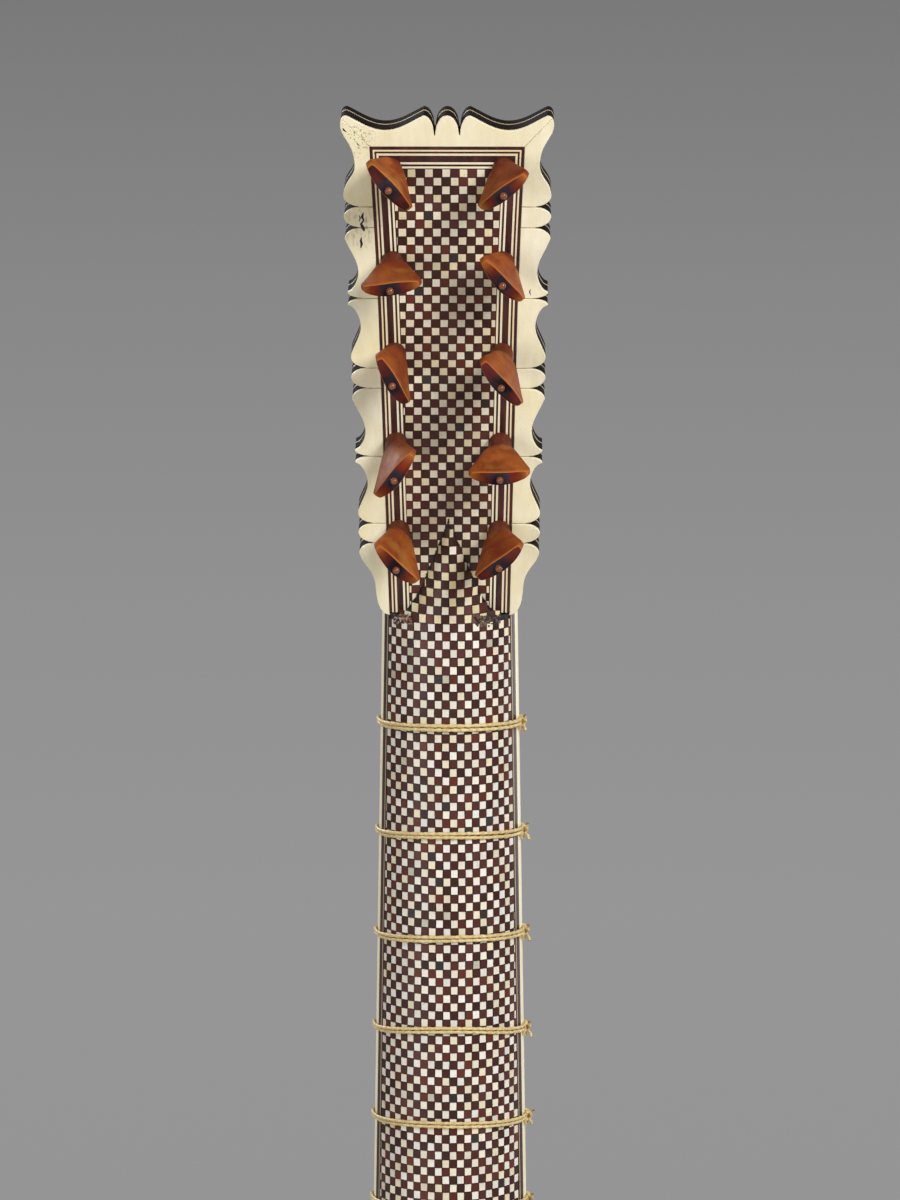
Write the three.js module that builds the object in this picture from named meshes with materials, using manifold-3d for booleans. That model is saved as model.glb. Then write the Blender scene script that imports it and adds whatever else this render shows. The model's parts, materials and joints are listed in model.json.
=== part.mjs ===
// A five-course guitar of the seventeenth century, with ten friction pegs in a flat, scalloped peghead,
// tied gut frets, a neck veneered with small squares, and a vaulted back of staves.
// Millimetres, +Z up the neck, the soundboard facing -Y, the origin at the flat end of the tail button.
import * as THREE from "three";
import { mergeVertices } from "three/addons/utils/BufferGeometryUtils.js";
import Module from "manifold-3d";

// Driving dimensions.
const STRING_LENGTH = 720;
const BODY_LENGTH = 475;
const NECK_LENGTH = 330;
const BUTTON_OUT = 12;
const BUTTON_AXIS_Y = 30; // depth of the button's axis behind the soundboard's face
const LOWER_BOUT = 248;
const WAIST = 168;
const UPPER_BOUT = 204;
const SIDE_DEPTH = 58;
const BACK_CROWN = 40;
const HEAD_TILT = THREE.MathUtils.degToRad(15.5);
const HEAD_THICKNESS = 10.5;
const GLUE_GAP = 0.1;

// Heights that follow from them.
const Z_TAIL = BUTTON_OUT;
const Z_SHOULDER = Z_TAIL + BODY_LENGTH;
const Z_NUT = Z_SHOULDER + NECK_LENGTH;
const Z_BRIDGE = Z_NUT - STRING_LENGTH;

// Neck: half width and depth at the nut, and how much each grows per millimetre towards the body.
const NECK_HALF_WIDTH = 23.05;
const NECK_DEPTH = 20.5;
const WIDTH_GROWTH = 0.01735;
const DEPTH_GROWTH = 0.0106;
const FINGERBOARD_THICKNESS = 3;
const EDGE_STRIP_THICKNESS = 1.5;
const EDGE_STRIP_END_DEG = 16; // angle round the neck's half ellipse where the bone strip ends
const VENEER_THICKNESS = 1.2;
const TIED_FRETS = 8;
const GUT = 1.4; // thickness of one strand of a fret

// Pegs: rows up the head, and each peg's side, row, rest turn in degrees, collar length, thumb piece length
// and the scale of its width and thickness.
const PEG_ROW_0 = 32.5;
const PEG_ROW_STEP = 32.1;
const PEGS = [
  ["peg_treble_1", 1, 0, -45, 8.0, 22.3, 0.98],
  ["peg_treble_2", 1, 1, 52, 9.0, 21.1, 1.03],
  ["peg_treble_3", 1, 2, -61, 5.4, 21.4, 0.98],
  ["peg_treble_4", 1, 3, 6, 7.7, 17.3, 0.97],
  ["peg_treble_5", 1, 4, -50, 2.6, 17.2, 1.04],
  ["peg_bass_1", -1, 0, 39, 8.3, 20.3, 0.98],
  ["peg_bass_2", -1, 1, 2, 10.3, 19.0, 1.0],
  ["peg_bass_3", -1, 2, -51, 9.3, 19.0, 1.03],
  ["peg_bass_4", -1, 3, -47, 4.2, 16.0, 0.98],
  ["peg_bass_5", -1, 4, 38, 5.8, 18.4, 0.97],
];
const PEG_SIDES = 12;
const PEG_SHAFT_OUT = 15; // how far the shaft stands out of the head's front
const SHAFT_TIP_RADIUS = 2.7;
const SHAFT_COLLAR_RADIUS = 3.5;
const COLLAR_RADIUS = 4.1;
const HOLE_CLEARANCE = 0.35;
const THUMB_HALF_WIDTH = 10.1;
const END_BOW = 3.2; // how much further the middle of the thumb piece reaches than its wings
const PIP_RADIUS = 1.35;

// Strings.
const STRING_RADIUS = 0.35;
const NUT_COURSE_STEP = 7.2;
const NUT_PAIR_STEP = 2.8;
const BRIDGE_COURSE_STEP = 13.5;
const BRIDGE_PAIR_STEP = 4.4;
const BRIDGE_STRING_Y = -8.6;
const NUT_STRING_Y = -2.3;
const WINDING_RADIUS = 3.6;

const STAVES = 7;
const ROSE_Z = Z_TAIL + 292;
const ROSE_HOLE_RADIUS = 42;
const TOP_THICKNESS = 2.4;
const FRET_GAP = 0.3;
const ROSE_TIER = 5; // depth of each tier of the rose
const ROSE_WALL = 1;

const wasm = await Module();
wasm.setup();

const material = (color, roughness) => new THREE.MeshStandardMaterial({ color, roughness, metalness: 0 });
const BOXWOOD = material(0xa8521c, 0.4);
const BONE = material(0xe9dfbd, 0.45);
const PARQUETRY = material(0x6f4f48, 0.4);
const EBONY = material(0x1b1412, 0.35);
const SNAKEWOOD = material(0x4a1f1a, 0.35);
const SPRUCE = material(0xc79a58, 0.6);
const SOFTWOOD = material(0xb99a6b, 0.7);
const GUT_FINISH = material(0xcdb471, 0.5);
const PARCHMENT = material(0xd9c9a0, 0.7);

const model = new THREE.Group();
const instrument = new THREE.Group(); // its own y is 0 on the soundboard's face
instrument.position.y = -BUTTON_AXIS_Y;
model.add(instrument);
const head = new THREE.Group(); // x across, y from the front face to the back, z up the head
head.position.z = Z_NUT;
head.rotation.x = -HEAD_TILT;
instrument.add(head);
head.updateMatrix();

function piece(parent, name, geometry, finish) {
  const mesh = new THREE.Mesh(geometry, finish);
  mesh.name = name;
  parent.add(mesh);
  return mesh;
}

// Moves every vertex of a geometry to where place(vertex) says.
function reshape(geometry, place) {
  const position = geometry.getAttribute("position");
  const vertex = new THREE.Vector3();
  for (let i = 0; i < position.count; i++) {
    vertex.fromBufferAttribute(position, i);
    const moved = place(vertex);
    position.setXYZ(i, moved.x, moved.y, moved.z);
  }
  return geometry;
}

// A closed body through stations 0 to 1: place(station, angle, radius) puts each vertex, radius 0 or 1.
function loft(sides, stations, place) {
  const cylinder = new THREE.CylinderGeometry(1, 1, 1, sides, stations - 1);
  return reshape(cylinder, (v) => {
    const station = Math.round((0.5 - v.y) * (stations - 1)) / (stations - 1);
    const radius = Math.hypot(v.x, v.z) > 0.5 ? 1 : 0;
    return place(station, Math.atan2(v.x, v.z), radius);
  });
}

// A flat plate: the outline lies in x and z, and the thickness runs from y0 to y1.
function plate(shape, y0, y1) {
  const options = { depth: y1 - y0, bevelEnabled: false, curveSegments: 12 };
  return new THREE.ExtrudeGeometry(shape, options).rotateX(Math.PI / 2).translate(0, y1, 0);
}

function toSolid(geometry, matrix = new THREE.Matrix4()) {
  const bare = geometry.index ? geometry.toNonIndexed() : geometry.clone();
  bare.deleteAttribute("normal");
  bare.deleteAttribute("uv");
  const merged = mergeVertices(bare.applyMatrix4(matrix), 1e-4);
  return new wasm.Manifold(
    new wasm.Mesh({
      numProp: 3,
      vertProperties: new Float32Array(merged.getAttribute("position").array),
      triVerts: new Uint32Array(merged.index.array),
    }),
  );
}

function toGeometry(solid) {
  const mesh = solid.getMesh();
  const geometry = new THREE.BufferGeometry();
  geometry.setAttribute("position", new THREE.BufferAttribute(new Float32Array(mesh.vertProperties), 3));
  geometry.setIndex(new THREE.BufferAttribute(new Uint32Array(mesh.triVerts), 1));
  return geometry;
}

const mirrored = (points) => points.map((p) => new THREE.Vector2(-p.x, p.y)).reverse();

// ---------------------------------------------------------------- the peghead's outline

const MOTIF_0 = 31.15; // height of the lowest carved motif on each edge
const MOTIF_STEP = 28.2;
const TOP_NOTCH = 4.0; // how far from the centre line the two notches of the top edge are
const TOP_NOTCH_DEPTH = 6.6;
const MOTIFS = 5; // double notches and single notches take turns, from a double one
const DOUBLE_HALF = 3.6; // half the width of the small lobe between a double motif's notches
const SHOULDER_ROUND = 3.7; // from a notch to the crest of the round lobe beside it
const SHOULDER_SHARP = 2.1;
const NOTCH_DEPTH = 5.2;
// 0.5 makes a lobe's flank a quarter of an ellipse, and more makes its notch wider.
const FLANK_FULLNESS = 0.6;
const NOTCH_TIP_HALF = 0.12;
const BAY_DEPTH = 3.8;
const BAY_SKEW = 0.76; // a bay is deepest nearer to its sharp crest
const BAY_POWER_SHARP = 0.85;
const BAY_POWER_ROUND = 1.3;
const crest = (v) => 29.5 + 0.0275 * v; // the crests of all lobes lie on this line
const TOP_CREST = 178.4;
const PANEL_TOP = 168.1;
const PANEL_BOTTOM = 1.6;
const panelHalf = (v) => 20.2 + 0.0262 * v;

// The flank of a lobe, from a notch's tip out to the crest.
function flank(points, notchV, shoulder, steps) {
  for (let i = 0; i <= steps; i++) {
    const share = i / steps;
    const v = notchV + Math.sign(shoulder) * NOTCH_TIP_HALF + shoulder * share;
    const out = (1 - (1 - share) ** 2) ** FLANK_FULLNESS;
    points.push(new THREE.Vector2(crest(notchV) - NOTCH_DEPTH * (1 - out), v));
  }
}

function flankInward(points, notchV, shoulder, steps) {
  const outward = [];
  flank(outward, notchV, shoulder, steps);
  points.push(...outward.reverse());
}

// A bay between two crests. It leaves a round crest gently and a sharp one steeply.
function bay(points, from, to, fromSharp, toSharp, steps) {
  for (let i = 1; i < steps; i++) {
    const share = i / steps;
    const bend = fromSharp ? share ** BAY_SKEW : 1 - (1 - share) ** BAY_SKEW;
    const sharp = bend < 0.5 ? fromSharp : toSharp;
    const dip = Math.sin(Math.PI * bend) ** (sharp ? BAY_POWER_SHARP : BAY_POWER_ROUND);
    const v = THREE.MathUtils.lerp(from, to, share);
    points.push(new THREE.Vector2(crest(v) - BAY_DEPTH * dip, v));
  }
}

function curve(points, start, c1, c2, end, steps) {
  const bezier = new THREE.CubicBezierCurve(
    new THREE.Vector2(...start),
    new THREE.Vector2(...c1),
    new THREE.Vector2(...c2),
    new THREE.Vector2(...end),
  );
  points.push(...bezier.getPoints(steps));
}

// Half of the outline, from the lower corner to the top's centre, and the index of the mitred corner.
function halfHead(fine) {
  const points = [];
  curve(points, [20.2, 0.6], [23, 0.9], [24.6, 4], [24.9, 11], fine + 1);
  points.pop();
  const firstCrest = MOTIF_0 - DOUBLE_HALF - SHOULDER_ROUND;
  curve(points, [24.9, 11], [25.2, 18], [29.6, 19.5], [crest(firstCrest), firstCrest], fine + 1);
  points.pop();
  for (let k = 0; k < MOTIFS; k++) {
    const centre = MOTIF_0 + MOTIF_STEP * k;
    const isDouble = k % 2 === 0;
    const half = isDouble ? DOUBLE_HALF : 0;
    const shoulder = isDouble ? SHOULDER_ROUND : SHOULDER_SHARP;
    flankInward(points, centre - half, -shoulder, fine);
    if (isDouble) {
      flank(points, centre - half, DOUBLE_HALF - 2 * NOTCH_TIP_HALF, fine);
      points.pop();
      flankInward(points, centre + half, 2 * NOTCH_TIP_HALF - DOUBLE_HALF, fine);
    }
    flank(points, centre + half, shoulder, fine);
    if (k < MOTIFS - 1) {
      const next = centre + MOTIF_STEP;
      const nextReach = isDouble ? SHOULDER_SHARP : DOUBLE_HALF + SHOULDER_ROUND;
      bay(points, centre + half + shoulder, next - nextReach, !isDouble, isDouble, fine + 3);
    }
  }
  const last = points[points.length - 1];
  curve(points, [last.x, last.y], [33.4, 156.5], [29.7, 157], [29.8, 162], fine + 1);
  points.pop();
  curve(points, [29.8, 162], [30, 169.5], [34.2, 171], [34.3, 175.3], fine + 2);
  points.pop();
  curve(points, [34.3, 175.3], [34.3, 177.4], [33.6, TOP_CREST], [32.3, TOP_CREST], fine);
  const corner = points.length - 1 - Math.floor(fine / 2);
  const dipFrom = 32.3;
  const dipTo = 7.4;
  for (let i = 1; i < 2 * fine + 4; i++) {
    const share = i / (2 * fine + 4);
    const dip = 4.9 * Math.sin(Math.PI * share) ** 1.15;
    points.push(new THREE.Vector2(THREE.MathUtils.lerp(dipFrom, dipTo, share), TOP_CREST - dip));
  }
  const topFlank = (reach, steps) => {
    const out = [];
    for (let i = 0; i <= steps; i++) {
      const share = i / steps;
      const rise = TOP_NOTCH_DEPTH * Math.sqrt(1 - (1 - share) ** 2);
      const u = TOP_NOTCH + Math.sign(reach) * NOTCH_TIP_HALF + reach * share;
      out.push(new THREE.Vector2(u, TOP_CREST - TOP_NOTCH_DEPTH + rise));
    }
    return out;
  };
  points.push(...topFlank(dipTo - TOP_NOTCH, fine).reverse());
  points.push(...topFlank(NOTCH_TIP_HALF - TOP_NOTCH, fine));
  return { points, corner };
}

const FINE = 3;
const half = halfHead(FINE);
const wholeHead = new THREE.Shape([...half.points, ...mirrored(half.points).slice(1)]);

// ---------------------------------------------------------------- pegs

const pegU = (v) => 16.5 + 0.011 * v;
const pegV = (row) => PEG_ROW_0 + PEG_ROW_STEP * row;

// The profile of a peg about its axis: [y, half width, half thickness].
// y is measured from the back face of the head.
function pegStations(collar, thumb, scale) {
  const front = -(HEAD_THICKNESS + PEG_SHAFT_OUT);
  const end = collar + thumb;
  const wide = THUMB_HALF_WIDTH * scale;
  return [
    [front, SHAFT_TIP_RADIUS - 0.4, SHAFT_TIP_RADIUS - 0.4],
    [front + 0.6, SHAFT_TIP_RADIUS, SHAFT_TIP_RADIUS],
    [0.3, SHAFT_COLLAR_RADIUS, SHAFT_COLLAR_RADIUS],
    [0.3, COLLAR_RADIUS, COLLAR_RADIUS],
    [collar, COLLAR_RADIUS + 0.3, COLLAR_RADIUS + 0.2],
    [collar + 0.3 * thumb, 0.66 * wide, 3.4],
    [collar + 0.62 * thumb, 0.88 * wide, 3.0],
    [end - 1.6, wide, 2.6],
    [end - 0.2, 0.93 * wide, 2.1],
  ];
}

function pegGeometry(collar, length, scale) {
  const stations = pegStations(collar, length, scale);
  const count = stations.length;
  const wide = THUMB_HALF_WIDTH * scale;
  const thumb = loft(PEG_SIDES, count, (station, angle, radius) => {
    const [y, across, thick] = stations[count - 1 - Math.round(station * (count - 1))];
    const x = radius * across * Math.sin(angle);
    const bow = y > collar ? (END_BOW * (y - collar)) / length : 0;
    return new THREE.Vector3(x, y - bow * (x / wide) ** 2, radius * thick * Math.cos(angle));
  });
  const pip = new THREE.SphereGeometry(PIP_RADIUS, 8, 6);
  pip.translate(0, collar + length + 0.6, 0);
  return toGeometry(toSolid(thumb).add(toSolid(pip)));
}

function pegMatrix(side, row, turn) {
  const place = new THREE.Vector3(side * pegU(pegV(row)), HEAD_THICKNESS, pegV(row));
  const spin = new THREE.Quaternion().setFromAxisAngle(
    new THREE.Vector3(0, 1, 0),
    THREE.MathUtils.degToRad(turn),
  );
  return new THREE.Matrix4().compose(place, spin, new THREE.Vector3(1, 1, 1));
}

function pegHoles() {
  const holes = PEGS.map(([, side, row]) => {
    const back = SHAFT_COLLAR_RADIUS + HOLE_CLEARANCE;
    const front = SHAFT_TIP_RADIUS + 0.3 + HOLE_CLEARANCE;
    const bore = new THREE.CylinderGeometry(back, front, HEAD_THICKNESS + 2, PEG_SIDES);
    bore.translate(0, -HEAD_THICKNESS / 2, 0);
    return toSolid(bore, pegMatrix(side, row, 0));
  });
  return holes.reduce((all, hole) => all.add(hole));
}

const holes = pegHoles();
const bored = (geometry) => toGeometry(toSolid(geometry).subtract(holes));

for (const [name, side, row, turn, collar, length, scale] of PEGS) {
  const peg = piece(head, name, pegGeometry(collar, length, scale), BOXWOOD);
  peg.applyMatrix4(pegMatrix(side, row, turn));
}

// ---------------------------------------------------------------- peghead

const FACE_THICKNESS = 1;

function addHead() {
  const backFace = HEAD_THICKNESS - FACE_THICKNESS;
  piece(head, "head_front_plate", bored(plate(wholeHead, 0, FACE_THICKNESS)), SNAKEWOOD);
  piece(head, "head_core", bored(plate(wholeHead, FACE_THICKNESS + GLUE_GAP, backFace - GLUE_GAP)), EBONY);

  const panelTop = new THREE.Vector2(panelHalf(PANEL_TOP), PANEL_TOP);
  const panelBottom = new THREE.Vector2(panelHalf(PANEL_BOTTOM), PANEL_BOTTOM);
  const inset = new THREE.Vector2(GLUE_GAP, 0);
  const panelSide = [panelBottom.clone().sub(inset), panelTop.clone().sub(inset)];
  const panel = new THREE.Shape([...panelSide, ...mirrored(panelSide)]);
  piece(head, "head_panel", bored(plate(panel, backFace, HEAD_THICKNESS)), PARQUETRY);

  const side = [...half.points.slice(0, half.corner + 1), panelTop, panelBottom];
  piece(head, "head_border_treble", plate(new THREE.Shape(side), backFace, HEAD_THICKNESS), BONE);
  const other = new THREE.Shape(mirrored(side));
  piece(head, "head_border_bass", plate(other, backFace, HEAD_THICKNESS), BONE);

  const lift = new THREE.Vector2(-GLUE_GAP, GLUE_GAP);
  const top = half.points.slice(half.corner).map((p) => p.clone());
  top[0].add(lift);
  const topHalf = [panelTop.clone().add(lift), ...top];
  const topShape = new THREE.Shape([...topHalf, ...mirrored(topHalf).slice(1)]);
  piece(head, "head_border_top", plate(topShape, backFace, HEAD_THICKNESS), BONE);
}
addHead();

// ---------------------------------------------------------------- neck

const neckHalfWidth = (z) => NECK_HALF_WIDTH + WIDTH_GROWTH * (Z_NUT - z);
const neckDepth = (z) => NECK_DEPTH + DEPTH_GROWTH * (Z_NUT - z);

// Points of the neck's half ellipse at the nut, inset by a thickness, between two angles in degrees.
function neckArc(inset, from, to, steps) {
  const points = [];
  for (let i = 0; i <= steps; i++) {
    const angle = THREE.MathUtils.degToRad(THREE.MathUtils.lerp(from, to, i / steps));
    const x = (NECK_HALF_WIDTH - inset) * Math.cos(angle);
    points.push(new THREE.Vector2(x, (NECK_DEPTH - inset) * Math.sin(angle)));
  }
  return points;
}

// Extrudes a section drawn at the nut down the neck, growing with it, and trims it at the peghead.
function neckBar(section, z0, z1) {
  const options = { depth: z1 - z0, steps: 1, bevelEnabled: false };
  const bar = new THREE.ExtrudeGeometry(new THREE.Shape(section), options).translate(0, 0, z0);
  return reshape(bar, (v) => {
    const wide = neckHalfWidth(v.z) / NECK_HALF_WIDTH;
    const deep = neckDepth(v.z) / NECK_DEPTH;
    return new THREE.Vector3(v.x * wide, v.y * deep, v.z);
  });
}

const beyondHead = new THREE.BoxGeometry(200, 200, 60);
beyondHead.translate(0, 0, 30 - GLUE_GAP);
const headSpace = toSolid(beyondHead, head.matrix);
const trimmed = (geometry) => toGeometry(toSolid(geometry).subtract(headSpace));

const SPUR_LENGTH = 35.4;
const SPUR_HALF_WIDTH = 14;
const SPUR_FLARE = 5.5; // extra half width where the spur runs out into the neck

// The pointed spur that carries the back of the neck up onto the peghead.
function spurGeometry() {
  const rise = (NECK_DEPTH - HEAD_THICKNESS / Math.cos(HEAD_TILT)) * Math.cos(HEAD_TILT);
  return loft(16, 7, (station, angle, radius) => {
    const share = Math.min(station, 0.97);
    const v = SPUR_LENGTH * share;
    const halfWidth = SPUR_HALF_WIDTH * (1 - share) + SPUR_FLARE * Math.exp(-v / 3);
    const height = rise * (1 - share);
    const x = radius * halfWidth * Math.sin(angle);
    const up = radius === 1 && Math.cos(angle) > 0.01 ? height * Math.cos(angle) : 0;
    return new THREE.Vector3(x, HEAD_THICKNESS + GLUE_GAP + up, v);
  });
}

function addNeck() {
  const low = Z_SHOULDER + GLUE_GAP;
  const high = Z_NUT + 1;
  const stripEnd = EDGE_STRIP_END_DEG;

  const backArc = (inset) => neckArc(inset, stripEnd + 1, 179 - stripEnd, 14);
  const veneerSection = [...backArc(0), ...backArc(VENEER_THICKNESS).reverse()];
  const veneer = toSolid(neckBar(veneerSection, low, high)).subtract(headSpace);
  piece(instrument, "neck_veneer", toGeometry(veneer), PARQUETRY);
  piece(head, "neck_spur", spurGeometry(), PARQUETRY);

  const floor = FINGERBOARD_THICKNESS + GLUE_GAP;
  const bandHalf = NECK_HALF_WIDTH - EDGE_STRIP_THICKNESS - GLUE_GAP;
  const coreArc = backArc(VENEER_THICKNESS + GLUE_GAP);
  const coreSection = [new THREE.Vector2(bandHalf, floor), ...coreArc, new THREE.Vector2(-bandHalf, floor)];
  piece(instrument, "neck_core", trimmed(neckBar(coreSection, low, high)), SOFTWOOD);

  const boardSection = [
    new THREE.Vector2(-bandHalf, 0),
    new THREE.Vector2(bandHalf, 0),
    new THREE.Vector2(bandHalf, FINGERBOARD_THICKNESS),
    new THREE.Vector2(-bandHalf, FINGERBOARD_THICKNESS),
  ];
  piece(instrument, "fingerboard", neckBar(boardSection, low, Z_NUT - 4.2), EBONY);

  const stripOuter = neckArc(0, 0, stripEnd, 4);
  const stripInner = NECK_HALF_WIDTH - EDGE_STRIP_THICKNESS;
  const stripTop = new THREE.Vector2(stripInner, stripOuter[4].y);
  const strip = [...stripOuter, stripTop, new THREE.Vector2(stripInner, 0)];
  piece(instrument, "neck_edge_treble", trimmed(neckBar(strip, low, high)), BONE);
  piece(instrument, "neck_edge_bass", trimmed(neckBar(mirrored(strip), low, high)), BONE);

  const nut = new THREE.BoxGeometry(2 * (NECK_HALF_WIDTH - 2.2), FINGERBOARD_THICKNESS + 1.5, 4);
  nut.translate(0, (FINGERBOARD_THICKNESS - 1.5) / 2, Z_NUT - 2.05);
  piece(instrument, "nut", trimmed(nut), BONE);
}
addNeck();

// ---------------------------------------------------------------- tied frets

const fretZ = (n) => Z_NUT - STRING_LENGTH * (1 - 2 ** (-n / 12));
const FRET_BAND = 2 * GUT; // two strands side by side
const FRET_RISE = [1.4, 2.1, 2.0, 3.6, 2.2, 2.4, 2.2, 2.4]; // each fret runs this much higher at the back

// The closed path of a fret round the neck at height z, offset outwards: the half ellipse and the flat front.
function fretLoop(z, offset, steps) {
  const points = [];
  for (let i = 0; i <= steps; i++) {
    const angle = (Math.PI * i) / steps;
    const x = (neckHalfWidth(z) + offset) * Math.cos(angle);
    points.push(new THREE.Vector2(x, (neckDepth(z) + offset) * Math.sin(angle)));
  }
  const corner = neckHalfWidth(z) + offset - 0.3;
  points.push(new THREE.Vector2(-corner, -offset), new THREE.Vector2(corner, -offset));
  return points;
}

function addFrets() {
  for (let n = 1; n <= TIED_FRETS; n++) {
    const z = fretZ(n);
    const shape = new THREE.Shape(fretLoop(z, FRET_GAP + GUT, 16));
    shape.holes.push(new THREE.Path(fretLoop(z, FRET_GAP, 16)));
    const band = new THREE.ExtrudeGeometry(shape, { depth: FRET_BAND, bevelEnabled: false });
    band.translate(0, 0, z - FRET_BAND / 2);
    reshape(band, (v) => v.setZ(v.z + FRET_RISE[n - 1] * (Math.max(0, v.y) / neckDepth(z)) ** 2));
    const knot = new THREE.SphereGeometry(1.5, 6, 5);
    knot.scale(0.9, 1.3, 1.4).translate(-neckHalfWidth(z) - FRET_GAP - 1.7, 3, z);
    piece(instrument, `fret_${n}`, toGeometry(toSolid(band).add(toSolid(knot))), GUT_FINISH);
  }
}
addFrets();

// ---------------------------------------------------------------- body

// Half of the body's outline, from the tail's centre to the neck, x and height above the tail.
function bodyHalf(steps) {
  const path = new THREE.Path();
  const lower = LOWER_BOUT / 2;
  const waist = WAIST / 2;
  const upper = UPPER_BOUT / 2;
  path.moveTo(0, 0);
  path.bezierCurveTo(0.56 * lower, 0, lower, 42, lower, 116);
  path.bezierCurveTo(lower, 186, waist, 204, waist, 274);
  path.bezierCurveTo(waist, 326, upper, 334, upper, 386);
  path.bezierCurveTo(upper, 440, 62, BODY_LENGTH, 34, BODY_LENGTH);
  return path.getPoints(steps);
}

const BODY_STEPS = 9;
const outlineHalf = bodyHalf(BODY_STEPS);

// The outline moved inwards by a distance, point by point along its normals.
function insetHalf(distance) {
  return outlineHalf.map((p, i) => {
    const before = outlineHalf[Math.max(i - 1, 0)];
    const after = outlineHalf[Math.min(i + 1, outlineHalf.length - 1)];
    const along = after.clone().sub(before).normalize();
    const x = i === 0 ? 0 : p.x - along.y * distance;
    return new THREE.Vector2(x, i === 0 ? distance : p.y + along.x * distance);
  });
}

const raise = (points) => points.map((p) => new THREE.Vector2(p.x, p.y + Z_TAIL));
const closedOutline = (halfPoints) => [...halfPoints, ...mirrored(halfPoints).slice(0, -1)];

// Half width of the body at a height above the tail.
function bodyHalfWidth(s) {
  const i = Math.max(1, outlineHalf.findIndex((p) => p.y >= s));
  const [a, b] = [outlineHalf[i - 1], outlineHalf[i]];
  return THREE.MathUtils.mapLinear(s, a.y, b.y, a.x, b.x);
}

const BINDING_WIDTH = 2.5;

function addSoundboard() {
  const outer = new THREE.Shape(raise(closedOutline(outlineHalf)));
  outer.holes.push(new THREE.Path(raise(closedOutline(insetHalf(BINDING_WIDTH)))));
  piece(instrument, "top_binding", plate(outer, 0, TOP_THICKNESS), BONE);

  const top = new THREE.Shape(raise(closedOutline(insetHalf(BINDING_WIDTH + GLUE_GAP))));
  top.holes.push(new THREE.Path().absarc(0, ROSE_Z, ROSE_HOLE_RADIUS, 0, 2 * Math.PI, true));
  piece(instrument, "soundboard", plate(top, 0, TOP_THICKNESS), SPRUCE);
}
addSoundboard();

// A tiered parchment rose, sunk behind the soundboard: each tier steps inwards and down.
function addRose() {
  const radii = [ROSE_HOLE_RADIUS + 3.5, 33, 24, 15, 6];
  const start = TOP_THICKNESS + GLUE_GAP;
  const front = [];
  const back = [];
  radii.forEach((r, i) => {
    const y = start + ROSE_TIER * i;
    if (i === 0) {
      front.push(new THREE.Vector2(r, y));
      back.push(new THREE.Vector2(r, y + ROSE_WALL));
    } else {
      front.push(new THREE.Vector2(r, y - ROSE_TIER), new THREE.Vector2(r, y));
      const outside = r + ROSE_WALL;
      const top = y - ROSE_TIER + ROSE_WALL;
      back.push(new THREE.Vector2(outside, top), new THREE.Vector2(outside, y + ROSE_WALL));
    }
  });
  const bottom = start + ROSE_TIER * (radii.length - 1);
  const profile = [
    new THREE.Vector2(0, bottom),
    ...front.reverse(),
    ...back,
    new THREE.Vector2(0, bottom + ROSE_WALL),
  ];
  const rose = new THREE.LatheGeometry(profile, 24).translate(0, 0, ROSE_Z);
  piece(instrument, "rose", rose, PARCHMENT);
}
addRose();

const SIDE_THICKNESS = 2.2;

function addSides() {
  const inner = insetHalf(SIDE_THICKNESS);
  const shoulder = [BODY_LENGTH, BODY_LENGTH - SIDE_THICKNESS].map((s) => new THREE.Vector2(GLUE_GAP, s));
  const strip = raise([...outlineHalf, ...shoulder, ...inner.reverse()]);
  strip[0].x += GLUE_GAP;
  strip[strip.length - 1].x += GLUE_GAP;
  const from = TOP_THICKNESS + GLUE_GAP;
  const to = SIDE_DEPTH - GLUE_GAP;
  piece(instrument, "side_treble", plate(new THREE.Shape(strip), from, to), SNAKEWOOD);
  piece(instrument, "side_bass", plate(new THREE.Shape(mirrored(strip)), from, to), SNAKEWOOD);
}
addSides();

const STAVE_THICKNESS = 2.4;
const STAVE_STATIONS = 18;
const BACK_INSET = 0.8; // the back starts and ends this far inside the outline's ends

// Depth of the back's outer face: full in the middle, and down to the sides at the edges and the ends.
function backDepth(across, share) {
  const length = Math.sqrt(Math.max(0, 1 - Math.abs(2 * share - 1) ** 3.2));
  return SIDE_DEPTH + BACK_CROWN * length * Math.max(0, 1 - across ** 2) ** 0.6;
}

function addBack() {
  for (let i = 0; i < STAVES; i++) {
    const box = new THREE.BoxGeometry(1, 1, 1, 3, STAVE_STATIONS, 1);
    const stave = reshape(box, (v) => {
      const share = (1 - Math.cos(Math.PI * (v.y + 0.5))) / 2;
      const s = BACK_INSET + (BODY_LENGTH - 2 * BACK_INSET) * share;
      const across = THREE.MathUtils.clamp((2 * (i + v.x + 0.5)) / STAVES - 1, -1, 1);
      const side = v.x * 2 * GLUE_GAP;
      const y = backDepth(across, share) + (v.z > 0 ? -STAVE_THICKNESS : 0) + STAVE_THICKNESS;
      return new THREE.Vector3(across * bodyHalfWidth(s) - side, y, Z_TAIL + s);
    });
    piece(instrument, `back_stave_${i + 1}`, stave, SNAKEWOOD);
  }
}
addBack();

function addInside() {
  const depth = SIDE_DEPTH - TOP_THICKNESS - 1;
  const middle = TOP_THICKNESS + 0.5 + depth / 2;
  const neckBlock = new THREE.BoxGeometry(64, depth, 34);
  neckBlock.translate(0, middle, Z_SHOULDER - SIDE_THICKNESS - 17.3);
  piece(instrument, "neck_block", neckBlock, SOFTWOOD);

  const tailBlock = new THREE.BoxGeometry(50, depth, 16);
  tailBlock.translate(0, middle, Z_TAIL + 14.5);
  piece(instrument, "tail_block", tailBlock, SOFTWOOD);

  for (const [name, s] of [["brace_upper", 356], ["brace_lower", 228]]) {
    const length = 2 * (bodyHalfWidth(s) - 6);
    const brace = new THREE.BoxGeometry(length, 15, 6);
    brace.translate(0, TOP_THICKNESS + 0.1 + 7.5, Z_TAIL + s);
    piece(instrument, name, brace, SOFTWOOD);
  }
}
addInside();

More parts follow.
